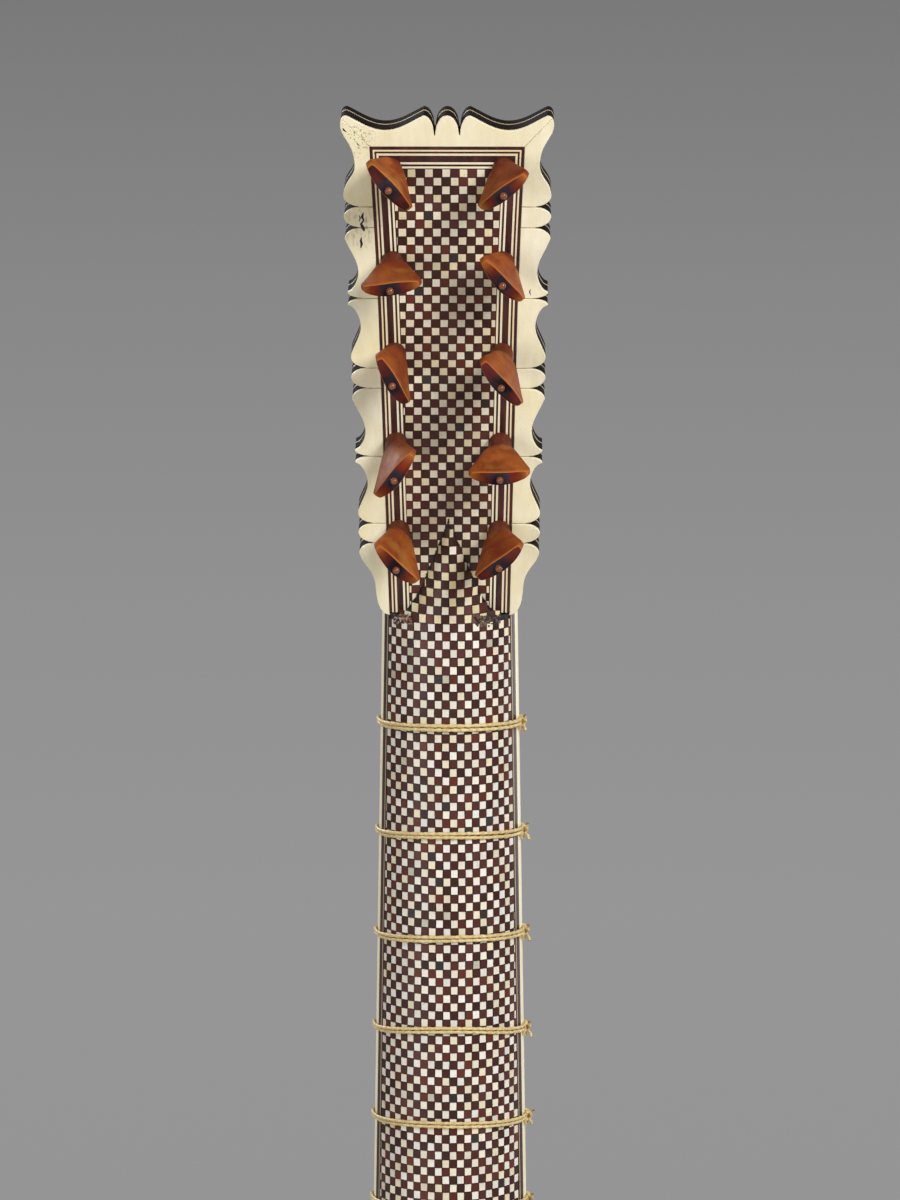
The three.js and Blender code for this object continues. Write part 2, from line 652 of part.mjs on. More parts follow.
// The heel fills the corner between the back of the neck and the body.
function addHeel() {
  const HEEL_REACH = 44;
  const HEEL_FOOT = 9;
  const top = 8;
  const bottom = SIDE_DEPTH + 1.5;
  const heel = loft(20, 6, (station, angle, radius) => {
    const y = THREE.MathUtils.lerp(bottom, top, station);
    const reach = HEEL_FOOT + (HEEL_REACH - HEEL_FOOT) * station ** 2.2;
    const halfWidth = 15 + 13 * station;
    const out = Math.max(0, Math.cos(angle)) * radius;
    return new THREE.Vector3(radius * halfWidth * Math.sin(angle), y, Z_SHOULDER + GLUE_GAP + reach * out);
  });
  const boardEdge = [new THREE.Vector2(-23, -9), new THREE.Vector2(23, -9)];
  const neckSection = [...neckArc(-2 * GLUE_GAP, 0, 180, 24), ...boardEdge];
  const neckSpace = toSolid(neckBar(neckSection, Z_SHOULDER - 5, Z_SHOULDER + 90));
  piece(instrument, "heel", toGeometry(toSolid(heel).subtract(neckSpace)), SNAKEWOOD);
}
addHeel();

function addBridge() {
  const BRIDGE_HALF = 60;
  const shape = new THREE.Shape();
  shape.moveTo(-BRIDGE_HALF, Z_BRIDGE - 10);
  shape.lineTo(BRIDGE_HALF, Z_BRIDGE - 10);
  shape.quadraticCurveTo(BRIDGE_HALF + 8, Z_BRIDGE - 4, BRIDGE_HALF, Z_BRIDGE + 2);
  shape.lineTo(-BRIDGE_HALF, Z_BRIDGE + 2);
  shape.quadraticCurveTo(-BRIDGE_HALF - 8, Z_BRIDGE - 4, -BRIDGE_HALF, Z_BRIDGE - 10);
  piece(instrument, "bridge", plate(shape, -7.9, -GLUE_GAP), EBONY);
}
addBridge();

function addButton() {
  const foot = [[0, 0], [4.6, 0], [5.6, 1], [6.2, 3]];
  const profile = [...foot, [5, 5.6], [3.4, 8], [4.4, 10.4], [6.5, 11.8], [0, 11.8]];
  const points = profile.map(([r, z]) => new THREE.Vector2(r, z));
  const button = new THREE.LatheGeometry(points, 16).rotateX(Math.PI / 2);
  button.translate(0, BUTTON_AXIS_Y, 0);
  piece(instrument, "tail_button", button, BONE);
}
addButton();

// ---------------------------------------------------------------- strings

// A thin rod through a list of points.
function rod(points, radius, sides) {
  const frames = points.map((p, i) => {
    const before = points[Math.max(i - 1, 0)];
    const after = points[Math.min(i + 1, points.length - 1)];
    return new THREE.Quaternion().setFromUnitVectors(
      new THREE.Vector3(0, 0, 1),
      after.clone().sub(before).normalize(),
    );
  });
  return loft(sides, points.length, (station, angle, r) => {
    const i = Math.round((1 - station) * (points.length - 1));
    const offset = new THREE.Vector3(r * radius * Math.cos(angle), r * radius * Math.sin(angle), 0);
    return offset.applyQuaternion(frames[i]).add(points[i]);
  });
}

// Distance from the centre line of the strings of each side, outermost first, at a course and pair spacing.
function spread(courseStep, pairStep) {
  const pair = pairStep / 2;
  return [2 * courseStep + pair, 2 * courseStep - pair, courseStep + pair, courseStep - pair, pair];
}

function addStrings() {
  const atBridge = spread(BRIDGE_COURSE_STEP, BRIDGE_PAIR_STEP);
  const atNut = spread(NUT_COURSE_STEP, NUT_PAIR_STEP);
  for (const [sideName, side] of [["treble", 1], ["bass", -1]]) {
    for (let row = 0; row < 5; row++) {
      const v = pegV(row);
      const end = new THREE.Vector3(side * (pegU(v) - WINDING_RADIUS), row - 8, v).applyMatrix4(head.matrix);
      const path = [
        new THREE.Vector3(side * atBridge[row], BRIDGE_STRING_Y, Z_BRIDGE),
        new THREE.Vector3(side * atNut[row], NUT_STRING_Y, Z_NUT - 3),
        new THREE.Vector3(side * atNut[row], NUT_STRING_Y, Z_NUT - 1),
        end,
      ];
      piece(instrument, `string_${sideName}_${row + 1}`, rod(path, STRING_RADIUS, 6), GUT_FINISH);
    }
  }
}
addStrings();

export default model;
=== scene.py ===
import json
import math
import random

import bmesh
import bpy
from mathutils import Matrix, Vector


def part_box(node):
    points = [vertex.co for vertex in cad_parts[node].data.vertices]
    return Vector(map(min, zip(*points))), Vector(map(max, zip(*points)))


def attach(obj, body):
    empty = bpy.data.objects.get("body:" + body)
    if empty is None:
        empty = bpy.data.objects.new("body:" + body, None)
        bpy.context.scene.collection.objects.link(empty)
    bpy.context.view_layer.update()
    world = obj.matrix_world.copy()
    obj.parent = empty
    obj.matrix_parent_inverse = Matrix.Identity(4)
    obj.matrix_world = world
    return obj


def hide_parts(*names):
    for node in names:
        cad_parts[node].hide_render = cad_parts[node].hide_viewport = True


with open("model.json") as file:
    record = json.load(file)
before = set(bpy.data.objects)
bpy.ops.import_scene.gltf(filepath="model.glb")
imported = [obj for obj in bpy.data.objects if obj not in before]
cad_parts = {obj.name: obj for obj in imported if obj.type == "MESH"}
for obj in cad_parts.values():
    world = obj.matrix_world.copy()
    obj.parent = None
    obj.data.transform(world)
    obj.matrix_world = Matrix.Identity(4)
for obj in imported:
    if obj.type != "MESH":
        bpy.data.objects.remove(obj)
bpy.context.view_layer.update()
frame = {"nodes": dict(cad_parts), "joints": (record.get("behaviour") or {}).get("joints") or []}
MM = 0.001

# ------------------------------------------------------------------ driving dimensions


def edge_mm(node, corner, axis):
    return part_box(node)[corner][axis] / MM


FACE_Y = edge_mm("soundboard", 0, 1)
Z_TAIL = edge_mm("top_binding", 0, 2)
Z_SHOULDER = edge_mm("top_binding", 1, 2)
NECK_LENGTH = 330
Z_NUT = Z_SHOULDER + NECK_LENGTH
STRING_LENGTH = 720
Z_BRIDGE = Z_NUT - STRING_LENGTH

NECK_HALF_WIDTH = 23.05
NECK_DEPTH = 20.5
WIDTH_GROWTH = 0.01735
DEPTH_GROWTH = 0.0106

PEG_JOINTS = {j["child"]: j for j in frame["joints"]}
HEAD_NORMAL = Vector(frame["joints"][0]["axis"])
HEAD_TILT = math.atan2(-HEAD_NORMAL.z, HEAD_NORMAL.y)
HEAD_THICKNESS = 10.5
FACE_THICKNESS = 1.0
HEAD = Matrix.Translation((0, FACE_Y, Z_NUT)) @ Matrix.Rotation(-HEAD_TILT, 4, "X")


def to_head(u, w, v):
    """A point of the peghead: across, from the front face to the back, and up."""
    return HEAD @ Vector((u, w, v))


# ------------------------------------------------------------------ materials


def rgb(r, g, b):
    """A colour given as screen values 0 to 255, as the linear values that a shader takes."""
    linear = [((c / 255 + 0.055) / 1.055) ** 2.4 if c > 10 else c / 255 / 12.92 for c in (r, g, b)]
    return (*linear, 1.0)


def set_stops(ramp, stops):
    """Gives a colour ramp its (position, colour) stops."""
    elements = ramp.color_ramp.elements
    while len(elements) < len(stops):
        elements.new(0.5)
    for element, (position, color) in zip(elements, stops):
        element.position = position
        element.color = color


class Finish:
    """A node material under construction. Its methods add nodes and return their outputs."""

    def __init__(self, name, roughness, coat=0.0, specular=0.5):
        self.material = bpy.data.materials.new(name)
        self.material.use_nodes = True
        self.nodes = self.material.node_tree.nodes
        self.links = self.material.node_tree.links
        self.shader = self.nodes["Principled BSDF"]
        self.shader.inputs["Roughness"].default_value = roughness
        self.shader.inputs["Coat Weight"].default_value = coat
        self.shader.inputs["Coat Roughness"].default_value = 0.12
        self.shader.inputs["Specular IOR Level"].default_value = specular

    def put(self, socket, source):
        if isinstance(source, bpy.types.NodeSocket):
            self.links.new(source, socket)
        elif source is not None:
            socket.default_value = source

    def place(self, stretch=(1, 1, 1)):
        coordinates = self.nodes.new("ShaderNodeTexCoord")
        mapping = self.nodes.new("ShaderNodeMapping")
        mapping.inputs["Scale"].default_value = stretch
        self.links.new(coordinates.outputs["Object"], mapping.inputs["Vector"])
        return mapping.outputs["Vector"]

    def noise(self, scale, detail=4, stretch=(1, 1, 1), distortion=0.0):
        node = self.nodes.new("ShaderNodeTexNoise")
        node.inputs["Scale"].default_value = scale
        node.inputs["Detail"].default_value = detail
        node.inputs["Roughness"].default_value = 0.5
        node.inputs["Distortion"].default_value = distortion
        self.put(node.inputs["Vector"], self.place(stretch))
        return node.outputs["Fac"]

    def wave(self, scale, distortion, stretch):
        node = self.nodes.new("ShaderNodeTexWave")
        node.bands_direction = "X"
        node.inputs["Scale"].default_value = scale
        node.inputs["Distortion"].default_value = distortion
        node.inputs["Detail"].default_value = 3
        self.put(node.inputs["Vector"], self.place(stretch))
        return node.outputs["Fac"]

    def ramp(self, factor, *stops):
        node = self.nodes.new("ShaderNodeValToRGB")
        set_stops(node, stops)
        self.put(node.inputs["Fac"], factor)
        return node.outputs["Color"]

    def level(self, factor, low, high, low_value=0.0, high_value=1.0):
        node = self.nodes.new("ShaderNodeMapRange")
        node.inputs["From Min"].default_value = low
        node.inputs["From Max"].default_value = high
        node.inputs["To Min"].default_value = low_value
        node.inputs["To Max"].default_value = high_value
        self.put(node.inputs["Value"], factor)
        return node.outputs["Result"]

    def mix(self, factor, a, b, how="MIX"):
        node = self.nodes.new("ShaderNodeMix")
        node.data_type = "RGBA"
        node.blend_type = how
        self.put(node.inputs[0], factor)
        self.put(node.inputs[6], a)
        self.put(node.inputs[7], b)
        return node.outputs[2]

    def math(self, how, a, b=None):
        node = self.nodes.new("ShaderNodeMath")
        node.operation = how
        self.put(node.inputs[0], a)
        self.put(node.inputs[1], b)
        return node.outputs[0]

    def tint(self):
        node = self.nodes.new("ShaderNodeVertexColor")
        node.layer_name = "tint"
        return node.outputs["Color"]

    def channels(self, color):
        node = self.nodes.new("ShaderNodeSeparateColor")
        self.put(node.inputs["Color"], color)
        return node.outputs["Red"], node.outputs["Green"], node.outputs["Blue"]

    def near(self, point, radius):
        """1 at a point given in mm, falling to 0 at a radius in mm."""
        coordinates = self.nodes.new("ShaderNodeTexCoord")
        distance = self.nodes.new("ShaderNodeVectorMath")
        distance.operation = "DISTANCE"
        self.links.new(coordinates.outputs["Object"], distance.inputs[0])
        distance.inputs[1].default_value = Vector(point) * MM
        return self.level(distance.outputs["Value"], 0.0, radius * MM, 1.0, 0.0)

    def tinted(self, tone):
        """Colours the material with a tone that the mesh's own tint darkens."""
        return self.color(self.mix(1.0, tone, self.tint(), "MULTIPLY"))

    def color(self, source):
        self.put(self.shader.inputs["Base Color"], source)
        return self

    def rough(self, source):
        self.put(self.shader.inputs["Roughness"], source)
        return self

    def bump(self, height, strength, distance_mm):
        node = self.nodes.new("ShaderNodeBump")
        node.inputs["Strength"].default_value = strength
        node.inputs["Distance"].default_value = distance_mm * MM
        self.put(node.inputs["Height"], height)
        self.put(self.shader.inputs["Normal"], node.outputs["Normal"])
        return self


def bone_finish():
    f = Finish("bone", 0.46, specular=0.35)
    tone = f.ramp(f.noise(55, 3), (0.3, rgb(255, 248, 222)), (0.7, rgb(247, 234, 194)))
    streak = f.noise(420, 3, stretch=(1, 1, 0.12))
    tone = f.mix(f.level(streak, 0.35, 0.75, 0.0, 0.3), tone, rgb(222, 204, 158))
    pore = f.noise(2600, 2, stretch=(1, 1, 0.25))
    tone = f.mix(f.level(pore, 0.66, 0.78, 0.0, 0.4), tone, rgb(172, 144, 98))
    stain_at = to_head(29, HEAD_THICKNESS, 171)
    stain = f.math("MULTIPLY", f.near(stain_at, 8), f.level(f.noise(1300, 4), 0.55, 0.64))
    tone = f.mix(stain, tone, rgb(112, 80, 44))
    # A painted shadow: a darker, patchy brown spot on the treble border near u 27.8, v 141.
    shadow_at = to_head(27.8, HEAD_THICKNESS, 141)
    patches = f.noise(700, 4, stretch=(1.6, 1, 0.6))
    painted_shadow = f.math("MULTIPLY", f.near(shadow_at, 9), f.level(patches, 0.5, 0.7))
    tone = f.mix(painted_shadow, tone, rgb(150, 116, 70))
    f.tinted(tone)
    return f.bump(f.noise(1500, 4, stretch=(1, 1, 0.3)), 0.15, 0.05).material


def tile_finish():
    f = Finish("tiles", 0.42, specular=0.3)
    speck = f.noise(2200, 3, stretch=(1, 1, 0.35))
    tone = f.mix(f.level(speck, 0.55, 0.8, 0.0, 0.25), f.tint(), rgb(104, 70, 50))
    cloud = f.noise(160, 3)
    tone = f.mix(f.level(cloud, 0.45, 0.75, 0.0, 0.12), tone, rgb(110, 86, 66))
    f.color(tone)
    f.rough(f.level(f.noise(300, 3), 0.3, 0.7, 0.34, 0.52))
    return f.bump(f.noise(900, 4), 0.2, 0.06).material


def dark_wood_finish(name, dark, light, roughness=0.4, specular=0.35):
    f = Finish(name, roughness, specular=specular)
    grain = f.noise(380, 5, stretch=(1, 1, 0.06), distortion=0.4)
    tone = f.ramp(grain, (0.35, dark), (0.75, light))
    f.tinted(tone)
    return f.bump(grain, 0.12, 0.06).material


def snakewood_finish():
    f = Finish("snakewood", 0.34, coat=0.2)
    grain = f.noise(260, 5, stretch=(1, 1, 0.05), distortion=0.5)
    tone = f.ramp(grain, (0.3, rgb(74, 30, 20)), (0.75, rgb(128, 56, 32)))
    spots = f.noise(150, 2, stretch=(1, 1, 0.45), distortion=1.2)
    tone = f.mix(f.level(spots, 0.52, 0.6, 0.0, 0.75), tone, rgb(34, 16, 13))
    f.tinted(tone)
    return f.bump(grain, 0.1, 0.05).material


def boxwood_finish(name, roughness, specular, coat=0.0):
    """Red and green of the pegs' tint say how stained and how blue-black a place is, blue its wear and, along
    the end ridge, a painted highlight.
    """
    f = Finish(name, roughness, coat, specular)
    stained, inky, wear_and_highlight = f.channels(f.tint())
    grain = f.noise(320, 5, stretch=(1, 0.16, 1), distortion=0.3)
    tone = f.ramp(grain, (0.3, rgb(134, 66, 28)), (0.75, rgb(172, 92, 40)))
    blotch = f.noise(130, 4, distortion=0.6)
    tone = f.mix(f.level(blotch, 0.48, 0.62, 0.0, 0.65), tone, rgb(112, 46, 26))
    golden = f.level(f.noise(90, 3, distortion=0.4), 0.56, 0.68, 0.0, 0.55)
    tone = f.mix(golden, tone, rgb(182, 126, 58))
    tone = f.mix(stained, tone, f.ramp(blotch, (0.35, rgb(74, 28, 26)), (0.7, rgb(118, 38, 20))))
    tone = f.mix(inky, tone, f.ramp(blotch, (0.35, rgb(28, 22, 26)), (0.7, rgb(58, 50, 60))))
    # Blue brightens towards pale orange: partly wear, partly a painted highlight along the end ridge.
    tone = f.mix(f.math("MULTIPLY", wear_and_highlight, 0.75), tone, rgb(216, 132, 56))
    f.color(tone)
    f.rough(f.level(f.noise(400, 3), 0.3, 0.7, roughness - 0.08, roughness + 0.1))
    return f.bump(f.noise(520, 4, stretch=(1, 0.3, 1)), 0.3, 0.1).material


def gut_finish():
    f = Finish("gut", 0.42, coat=0.1)
    tone = f.ramp(f.noise(900, 3), (0.3, rgb(200, 172, 110)), (0.7, rgb(234, 212, 158)))
    f.tinted(tone)
    f.shader.inputs["Subsurface Weight"].default_value = 0.1
    f.shader.inputs["Subsurface Radius"].default_value = (0.001, 0.0006, 0.0003)
    return f.bump(f.noise(3000, 3), 0.2, 0.05).material


def wax_finish():
    f = Finish("black_filler", 0.5)
    tone = f.ramp(f.noise(700, 4), (0.35, rgb(18, 17, 19)), (0.75, rgb(50, 47, 48)))
    f.tinted(tone)
    return f.bump(f.noise(900, 4), 0.5, 0.15).material


def spruce_finish():
    f = Finish("spruce", 0.48, coat=0.12)
    rings = f.wave(240, distortion=1.2, stretch=(1, 1, 0.02))
    tone = f.ramp(rings, (0.2, rgb(216, 168, 98)), (0.95, rgb(170, 112, 52)))
    tone = f.mix(f.level(f.noise(28, 4), 0.35, 0.7, 0.0, 0.5), tone, rgb(178, 122, 62))
    f.tinted(tone)
    return f.bump(rings, 0.12, 0.05).material


def softwood_finish():
    f = Finish("softwood", 0.7)
    grain = f.noise(300, 4, stretch=(1, 1, 0.06))
    f.color(f.ramp(grain, (0.3, rgb(196, 160, 108)), (0.7, rgb(166, 126, 76))))
    return f.bump(grain, 0.3, 0.1).material


def parchment_finish():
    f = Finish("parchment", 0.6)
    tone = f.ramp(f.noise(160, 4), (0.3, rgb(226, 206, 156)), (0.7, rgb(192, 162, 104)))
    f.tinted(tone)
    return f.bump(f.noise(800, 4), 0.3, 0.08).material


BONE = bone_finish()
TILES = tile_finish()
DARK_LINE = dark_wood_finish("dark_lines", rgb(48, 24, 22), rgb(88, 48, 44))
EBONY = dark_wood_finish("ebony", rgb(20, 15, 14), rgb(40, 30, 26), roughness=0.5, specular=0.2)
CORE_WOOD = dark_wood_finish("blackened_core", rgb(20, 16, 15), rgb(46, 36, 32), roughness=0.8, specular=0.08)
SNAKEWOOD = snakewood_finish()
BOXWOOD = boxwood_finish("boxwood", 0.5, 0.05)
BEAD = boxwood_finish("boxwood_bead", 0.28, 0.5, 0.3)
GUT = gut_finish()
WAX = wax_finish()
SPRUCE = spruce_finish()
SOFTWOOD = softwood_finish()
PARCHMENT = parchment_finish()

# ------------------------------------------------------------------ mesh making

WHITE = (1.0, 1.0, 1.0, 1.0)


class Shape:
    """Vertices in mm with a tint each, and faces with a material index each."""

    def __init__(self):
        self.vertices = []
        self.tints = []
        self.faces = []
        self.slots = []

    def point(self, place, tint=WHITE):
        self.vertices.append(place)
        self.tints.append(tint)
        return len(self.vertices) - 1

    def points(self, places, tint=WHITE):
        return [self.point(p, tint) for p in places]

    def face(self, indices, slot=0):
        self.faces.append(indices)
        self.slots.append(slot)

    def bridge(self, ring_a, ring_b, slot=0, closed=True):
        count = len(ring_a)
        for i in range(count if closed else count - 1):
            j = (i + 1) % count
            self.face([ring_a[i], ring_a[j], ring_b[j], ring_b[i]], slot)

    def stack(self, rings, slot=0, caps=(True, True), closed=True):
        for below, above in zip(rings, rings[1:]):
            self.bridge(below, above, slot, closed)
        if caps[0]:
            self.face(list(reversed(rings[0])), slot)
        if caps[1]:
            self.face(list(rings[-1]), slot)

    def build(self, name, *materials, sharp=35):
        mesh = bpy.data.meshes.new(name)
        mesh.from_pydata([Vector(v) * MM for v in self.vertices], [], self.faces)
        mesh.polygons.foreach_set("material_index", self.slots)
        mesh.polygons.foreach_set("use_smooth", [True] * len(self.faces))
        layer = mesh.color_attributes.new("tint", "FLOAT_COLOR", "POINT")
        layer.data.foreach_set("color", [c for tint in self.tints for c in tint])
        for material in materials:
            mesh.materials.append(material)
        mesh.update()
        solid = bmesh.new()
        solid.from_mesh(mesh)
        bmesh.ops.recalc_face_normals(solid, faces=solid.faces)
        solid.to_mesh(mesh)
        solid.free()
        mesh.set_sharp_from_angle(angle=math.radians(sharp))
        made = bpy.data.objects.new(name, mesh)
        bpy.context.scene.collection.objects.link(made)
        return made


def finish_piece(piece, body, slot, *replaced):
    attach(piece, body)
    if replaced:
        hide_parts(*replaced)


LEAST_NORMAL = 0.35  # keeps a sharp corner from moving too far


def offset_outline(outline, distance):
    """A closed outline, counterclockwise, moved inwards by a distance."""
    moved = []
    count = len(outline)
    for i in range(count):
        before, here, after = (Vector(outline[(i + k) % count]) for k in (-1, 0, 1))
        first = (here - before).normalized()
        second = (after - here).normalized()
        normal = Vector((-first.y - second.y, first.x + second.x))
        size = normal.length
        size = max(size, LEAST_NORMAL)
        moved.append(here + normal / size * distance * min(2.0 / size, 1.6))
    return moved


def prism(shape, outline, levels, place, slot=0, tint=WHITE):
    """A plate from a counterclockwise outline, through levels of (height, inset)."""
    rings = []
    for height, inset in levels:
        ring = offset_outline(outline, inset) if inset else outline
        rings.append(shape.points([place(p[0], height, p[1]) for p in ring], tint))
    shape.stack(rings, slot)


def mirror(points):
    return [Vector((-p[0], p[1])) for p in reversed(points)]


def turns_of(count):
    """Angles that share out one whole turn."""
    return [2 * math.pi * i / count for i in range(count)]


def lerp(a, b, share):
    return a + (b - a) * share


# ------------------------------------------------------------------ peghead outline

MOTIF_0 = 31.15
MOTIF_STEP = 28.2
MOTIFS = 5
DOUBLE_HALF = 3.6
SHOULDER_ROUND = 3.7
SHOULDER_SHARP = 2.1
NOTCH_DEPTH = 5.2
FLANK_FULLNESS = 0.6
NOTCH_TIP_HALF = 0.12
BAY_DEPTH = 3.8
BAY_SKEW = 0.76  # a bay is deepest nearer to its sharp crest
BAY_POWER_SHARP = 0.85
BAY_POWER_ROUND = 1.3
TOP_CREST = 178.4
PANEL_TOP = 168.1
PANEL_BOTTOM = 1.6


def crest(v):
    return 29.5 + 0.0275 * v


def panel_half(v):
    """Half width of the inlaid panel, which widens a little more towards the top."""
    return 20.3 + 0.0215 * v + 0.95 * (max(0.0, v - 110) / 55) ** 1.5


def flank(notch_v, shoulder, steps):
    """From a notch's tip out to the crest of the lobe beside it."""
    points = []
    for i in range(steps + 1):
        share = i / steps
        v = notch_v + math.copysign(NOTCH_TIP_HALF, shoulder) + shoulder * share
        out = (1 - (1 - share) ** 2) ** FLANK_FULLNESS
        points.append(Vector((crest(notch_v) - NOTCH_DEPTH * (1 - out), v)))
    return points


def bay(start, end, start_sharp, end_sharp, steps):
    points = []
    for i in range(1, steps):
        share = i / steps
        bend = share**BAY_SKEW if start_sharp else 1 - (1 - share) ** BAY_SKEW
        sharp = start_sharp if bend < 0.5 else end_sharp
        v = lerp(start, end, share)
        dip = math.sin(math.pi * bend) ** (BAY_POWER_SHARP if sharp else BAY_POWER_ROUND)
        points.append(Vector((crest(v) - BAY_DEPTH * dip, v)))
    return points


def bezier(start, c1, c2, end, steps):
    points = []
    for i in range(steps + 1):
        t = i / steps
        weights = ((1 - t) ** 3, 3 * t * (1 - t) ** 2, 3 * t * t * (1 - t), t**3)
        points.append(sum((Vector(p) * k for p, k in zip((start, c1, c2, end), weights)), Vector((0, 0))))
    return points


def side_runs(fine):
    """The treble edge of the peghead as runs from notch to notch, bottom to top, and then the top edge."""
    first_crest = MOTIF_0 - DOUBLE_HALF - SHOULDER_ROUND
    run = bezier((20.2, 0.6), (23, 0.9), (24.6, 4), (24.9, 11), fine + 4)[:-1]
    run += bezier((24.9, 11), (25.2, 18), (29.6, 19.5), (crest(first_crest), first_crest), fine + 4)[:-1]
    runs = []
    for k in range(MOTIFS):
        centre = MOTIF_0 + MOTIF_STEP * k
        double = k % 2 == 0
        half = DOUBLE_HALF if double else 0
        shoulder = SHOULDER_ROUND if double else SHOULDER_SHARP
        runs.append(run + flank(centre - half, -shoulder, fine)[::-1])
        if double:
            reach = DOUBLE_HALF - 2 * NOTCH_TIP_HALF
            lobe = flank(centre - half, reach, fine)[:-1]
            runs.append(lobe + flank(centre + half, -reach, fine)[::-1])
        run = flank(centre + half, shoulder, fine)
        if k < MOTIFS - 1:
            next_reach = SHOULDER_SHARP if double else DOUBLE_HALF + SHOULDER_ROUND
            end = centre + MOTIF_STEP - next_reach
            run += bay(centre + half + shoulder, end, not double, double, 3 * fine)
    last = run[-1]
    run += bezier(last, (33.4, 156.5), (29.7, 157), (29.8, 162), fine + 4)[1:-1]
    run += bezier((29.8, 162), (30, 169.5), (34.2, 171), (34.3, 175.3), fine + 6)[:-1]
    corner = bezier((34.3, 175.3), (34.3, 177.4), (33.6, TOP_CREST), (32.3, TOP_CREST), 2 * fine)
    runs.append(run + corner[: fine + 1])
    return runs, corner[fine:] + top_run(fine)


TOP_DIP = 4.9
TOP_NOTCH = 4.0
TOP_NOTCH_DEPTH = 6.6
TOP_DIP_FROM = 32.3
TOP_DIP_TO = 7.4


def top_flank(reach, steps):
    points = []
    for i in range(steps + 1):
        share = i / steps
        rise = TOP_NOTCH_DEPTH * math.sqrt(1 - (1 - share) ** 2)
        u = TOP_NOTCH + math.copysign(NOTCH_TIP_HALF, reach) + reach * share
        points.append(Vector((u, TOP_CREST - TOP_NOTCH_DEPTH + rise)))
    return points


def top_run(fine):
    steps = 6 * fine
    points = []
    for i in range(1, steps):
        share = i / steps
        dip = TOP_DIP * math.sin(math.pi * share) ** 1.15
        points.append(Vector((lerp(TOP_DIP_FROM, TOP_DIP_TO, share), TOP_CREST - dip)))
    points += top_flank(TOP_DIP_TO - TOP_NOTCH, fine)[::-1]
    points += top_flank(NOTCH_TIP_HALF - TOP_NOTCH, fine)
    return points


FINE = 8
RUNS, TOP_RUN = side_runs(FINE)
HALF_OUTLINE = [p for run in RUNS for p in run] + TOP_RUN[1:]
WHOLE_OUTLINE = HALF_OUTLINE + mirror(HALF_OUTLINE)[1:]
BACK_FACE = HEAD_THICKNESS - FACE_THICKNESS

# ------------------------------------------------------------------ peghead


def add_core():
    """The laminated thickness of the peghead: dark, a pale line, dark."""
    shape = Shape()
    pale = (0.72, 0.66, 0.6, 1)
    layers = [(0.98, 3.8, 0.03, 0, WHITE), (3.8, 4.3, 0.0, 1, pale), (4.3, BACK_FACE, 0.03, 0, WHITE)]
    for low, high, inset, slot, tint in layers:
        prism(shape, WHOLE_OUTLINE, [(low, inset), (high, inset)], to_head, slot, tint)
    finish_piece(shape.build("peghead_lamination", CORE_WOOD, BONE), "body", "ebony", "head_core")


def add_front():
    shape = Shape()
    prism(shape, WHOLE_OUTLINE, [(0.0, 0.25), (0.25, 0.0), (0.98, 0.0)], to_head)
    shape.slots = [1 if len(face) == 4 else 0 for face in shape.faces]
    finish_piece(
        shape.build("peghead_front_veneer", SNAKEWOOD, CORE_WOOD), "body", "snakewood", "head_front_plate"
    )


SEAM = 0.04
PLATE_LEVELS = [(BACK_FACE, 0.0), (HEAD_THICKNESS - 0.14, 0.0), (HEAD_THICKNESS, 0.16)]


def add_border():
    """The bone border: one plate from notch to notch, mitred at the upper corners."""
    pick = random.Random(5)
    for name, flip in (("treble", False), ("bass", True)):
        shape = Shape()
        for i, run in enumerate(RUNS):
            inner_low = PANEL_BOTTOM if i == 0 else run[0].y + SEAM
            inner_high = PANEL_TOP if i == len(RUNS) - 1 else run[-1].y - SEAM
            outline = list(run)
            if i < len(RUNS) - 1:
                outline[-1] = outline[-1] - Vector((0, SEAM / 2))
            inner = [lerp(inner_high, inner_low, k / 6) for k in range(7)]
            outline += [Vector((panel_half(v) + SEAM, v)) for v in inner]
            shade = pick.uniform(0.95, 1.0)
            tint = (shade, shade, shade * pick.uniform(0.95, 1.0), 1)
            prism(shape, mirror(outline) if flip else outline, PLATE_LEVELS, to_head, tint=tint)
        finish_piece(shape.build(f"peghead_border_{name}", BONE), "body", "bone", f"head_border_{name}")

    shape = Shape()
    lift = Vector((-SEAM, SEAM))
    half = [Vector((panel_half(PANEL_TOP), PANEL_TOP)) + lift, TOP_RUN[0] + lift, *TOP_RUN[1:]]
    prism(shape, half + mirror(half)[1:], PLATE_LEVELS, to_head)
    finish_piece(shape.build("peghead_border_top", BONE), "body", "bone", "head_border_top")


# Lines of the frame from outside in: width, 0 for dark or 1 for bone, and tint.
PINK = (0.97, 0.86, 0.77, 1.0)
FRAME_LINES = [
    (0.92, 0, WHITE),
    (0.6, 1, PINK),
    (0.55, 0, WHITE),
    (0.75, 1, (0.97, 0.92, 0.9, 1.0)),
    (2.0, 0, WHITE),
    (0.72, 1, WHITE),
    (0.6, 0, WHITE),
    (0.68, 1, WHITE),
]
FRAME_WIDTH = sum(width for width, _, _ in FRAME_LINES)
TOP_STRETCH = 1.08  # the lines along the top are this much wider
LINE_TOP = HEAD_THICKNESS - 0.02


def frame_corner(offset, side):
    v = PANEL_TOP - offset * TOP_STRETCH
    return Vector((side * (panel_half(v) - offset), v))


def frame_side(offset, side, steps=14):
    """The path of a line along one side of the panel, from the foot up to the mitre."""
    end = PANEL_TOP - offset * TOP_STRETCH
    heights = [lerp(PANEL_BOTTOM, end, i / steps) for i in range(steps + 1)]
    return [Vector((side * (panel_half(v) - offset), v)) for v in heights]


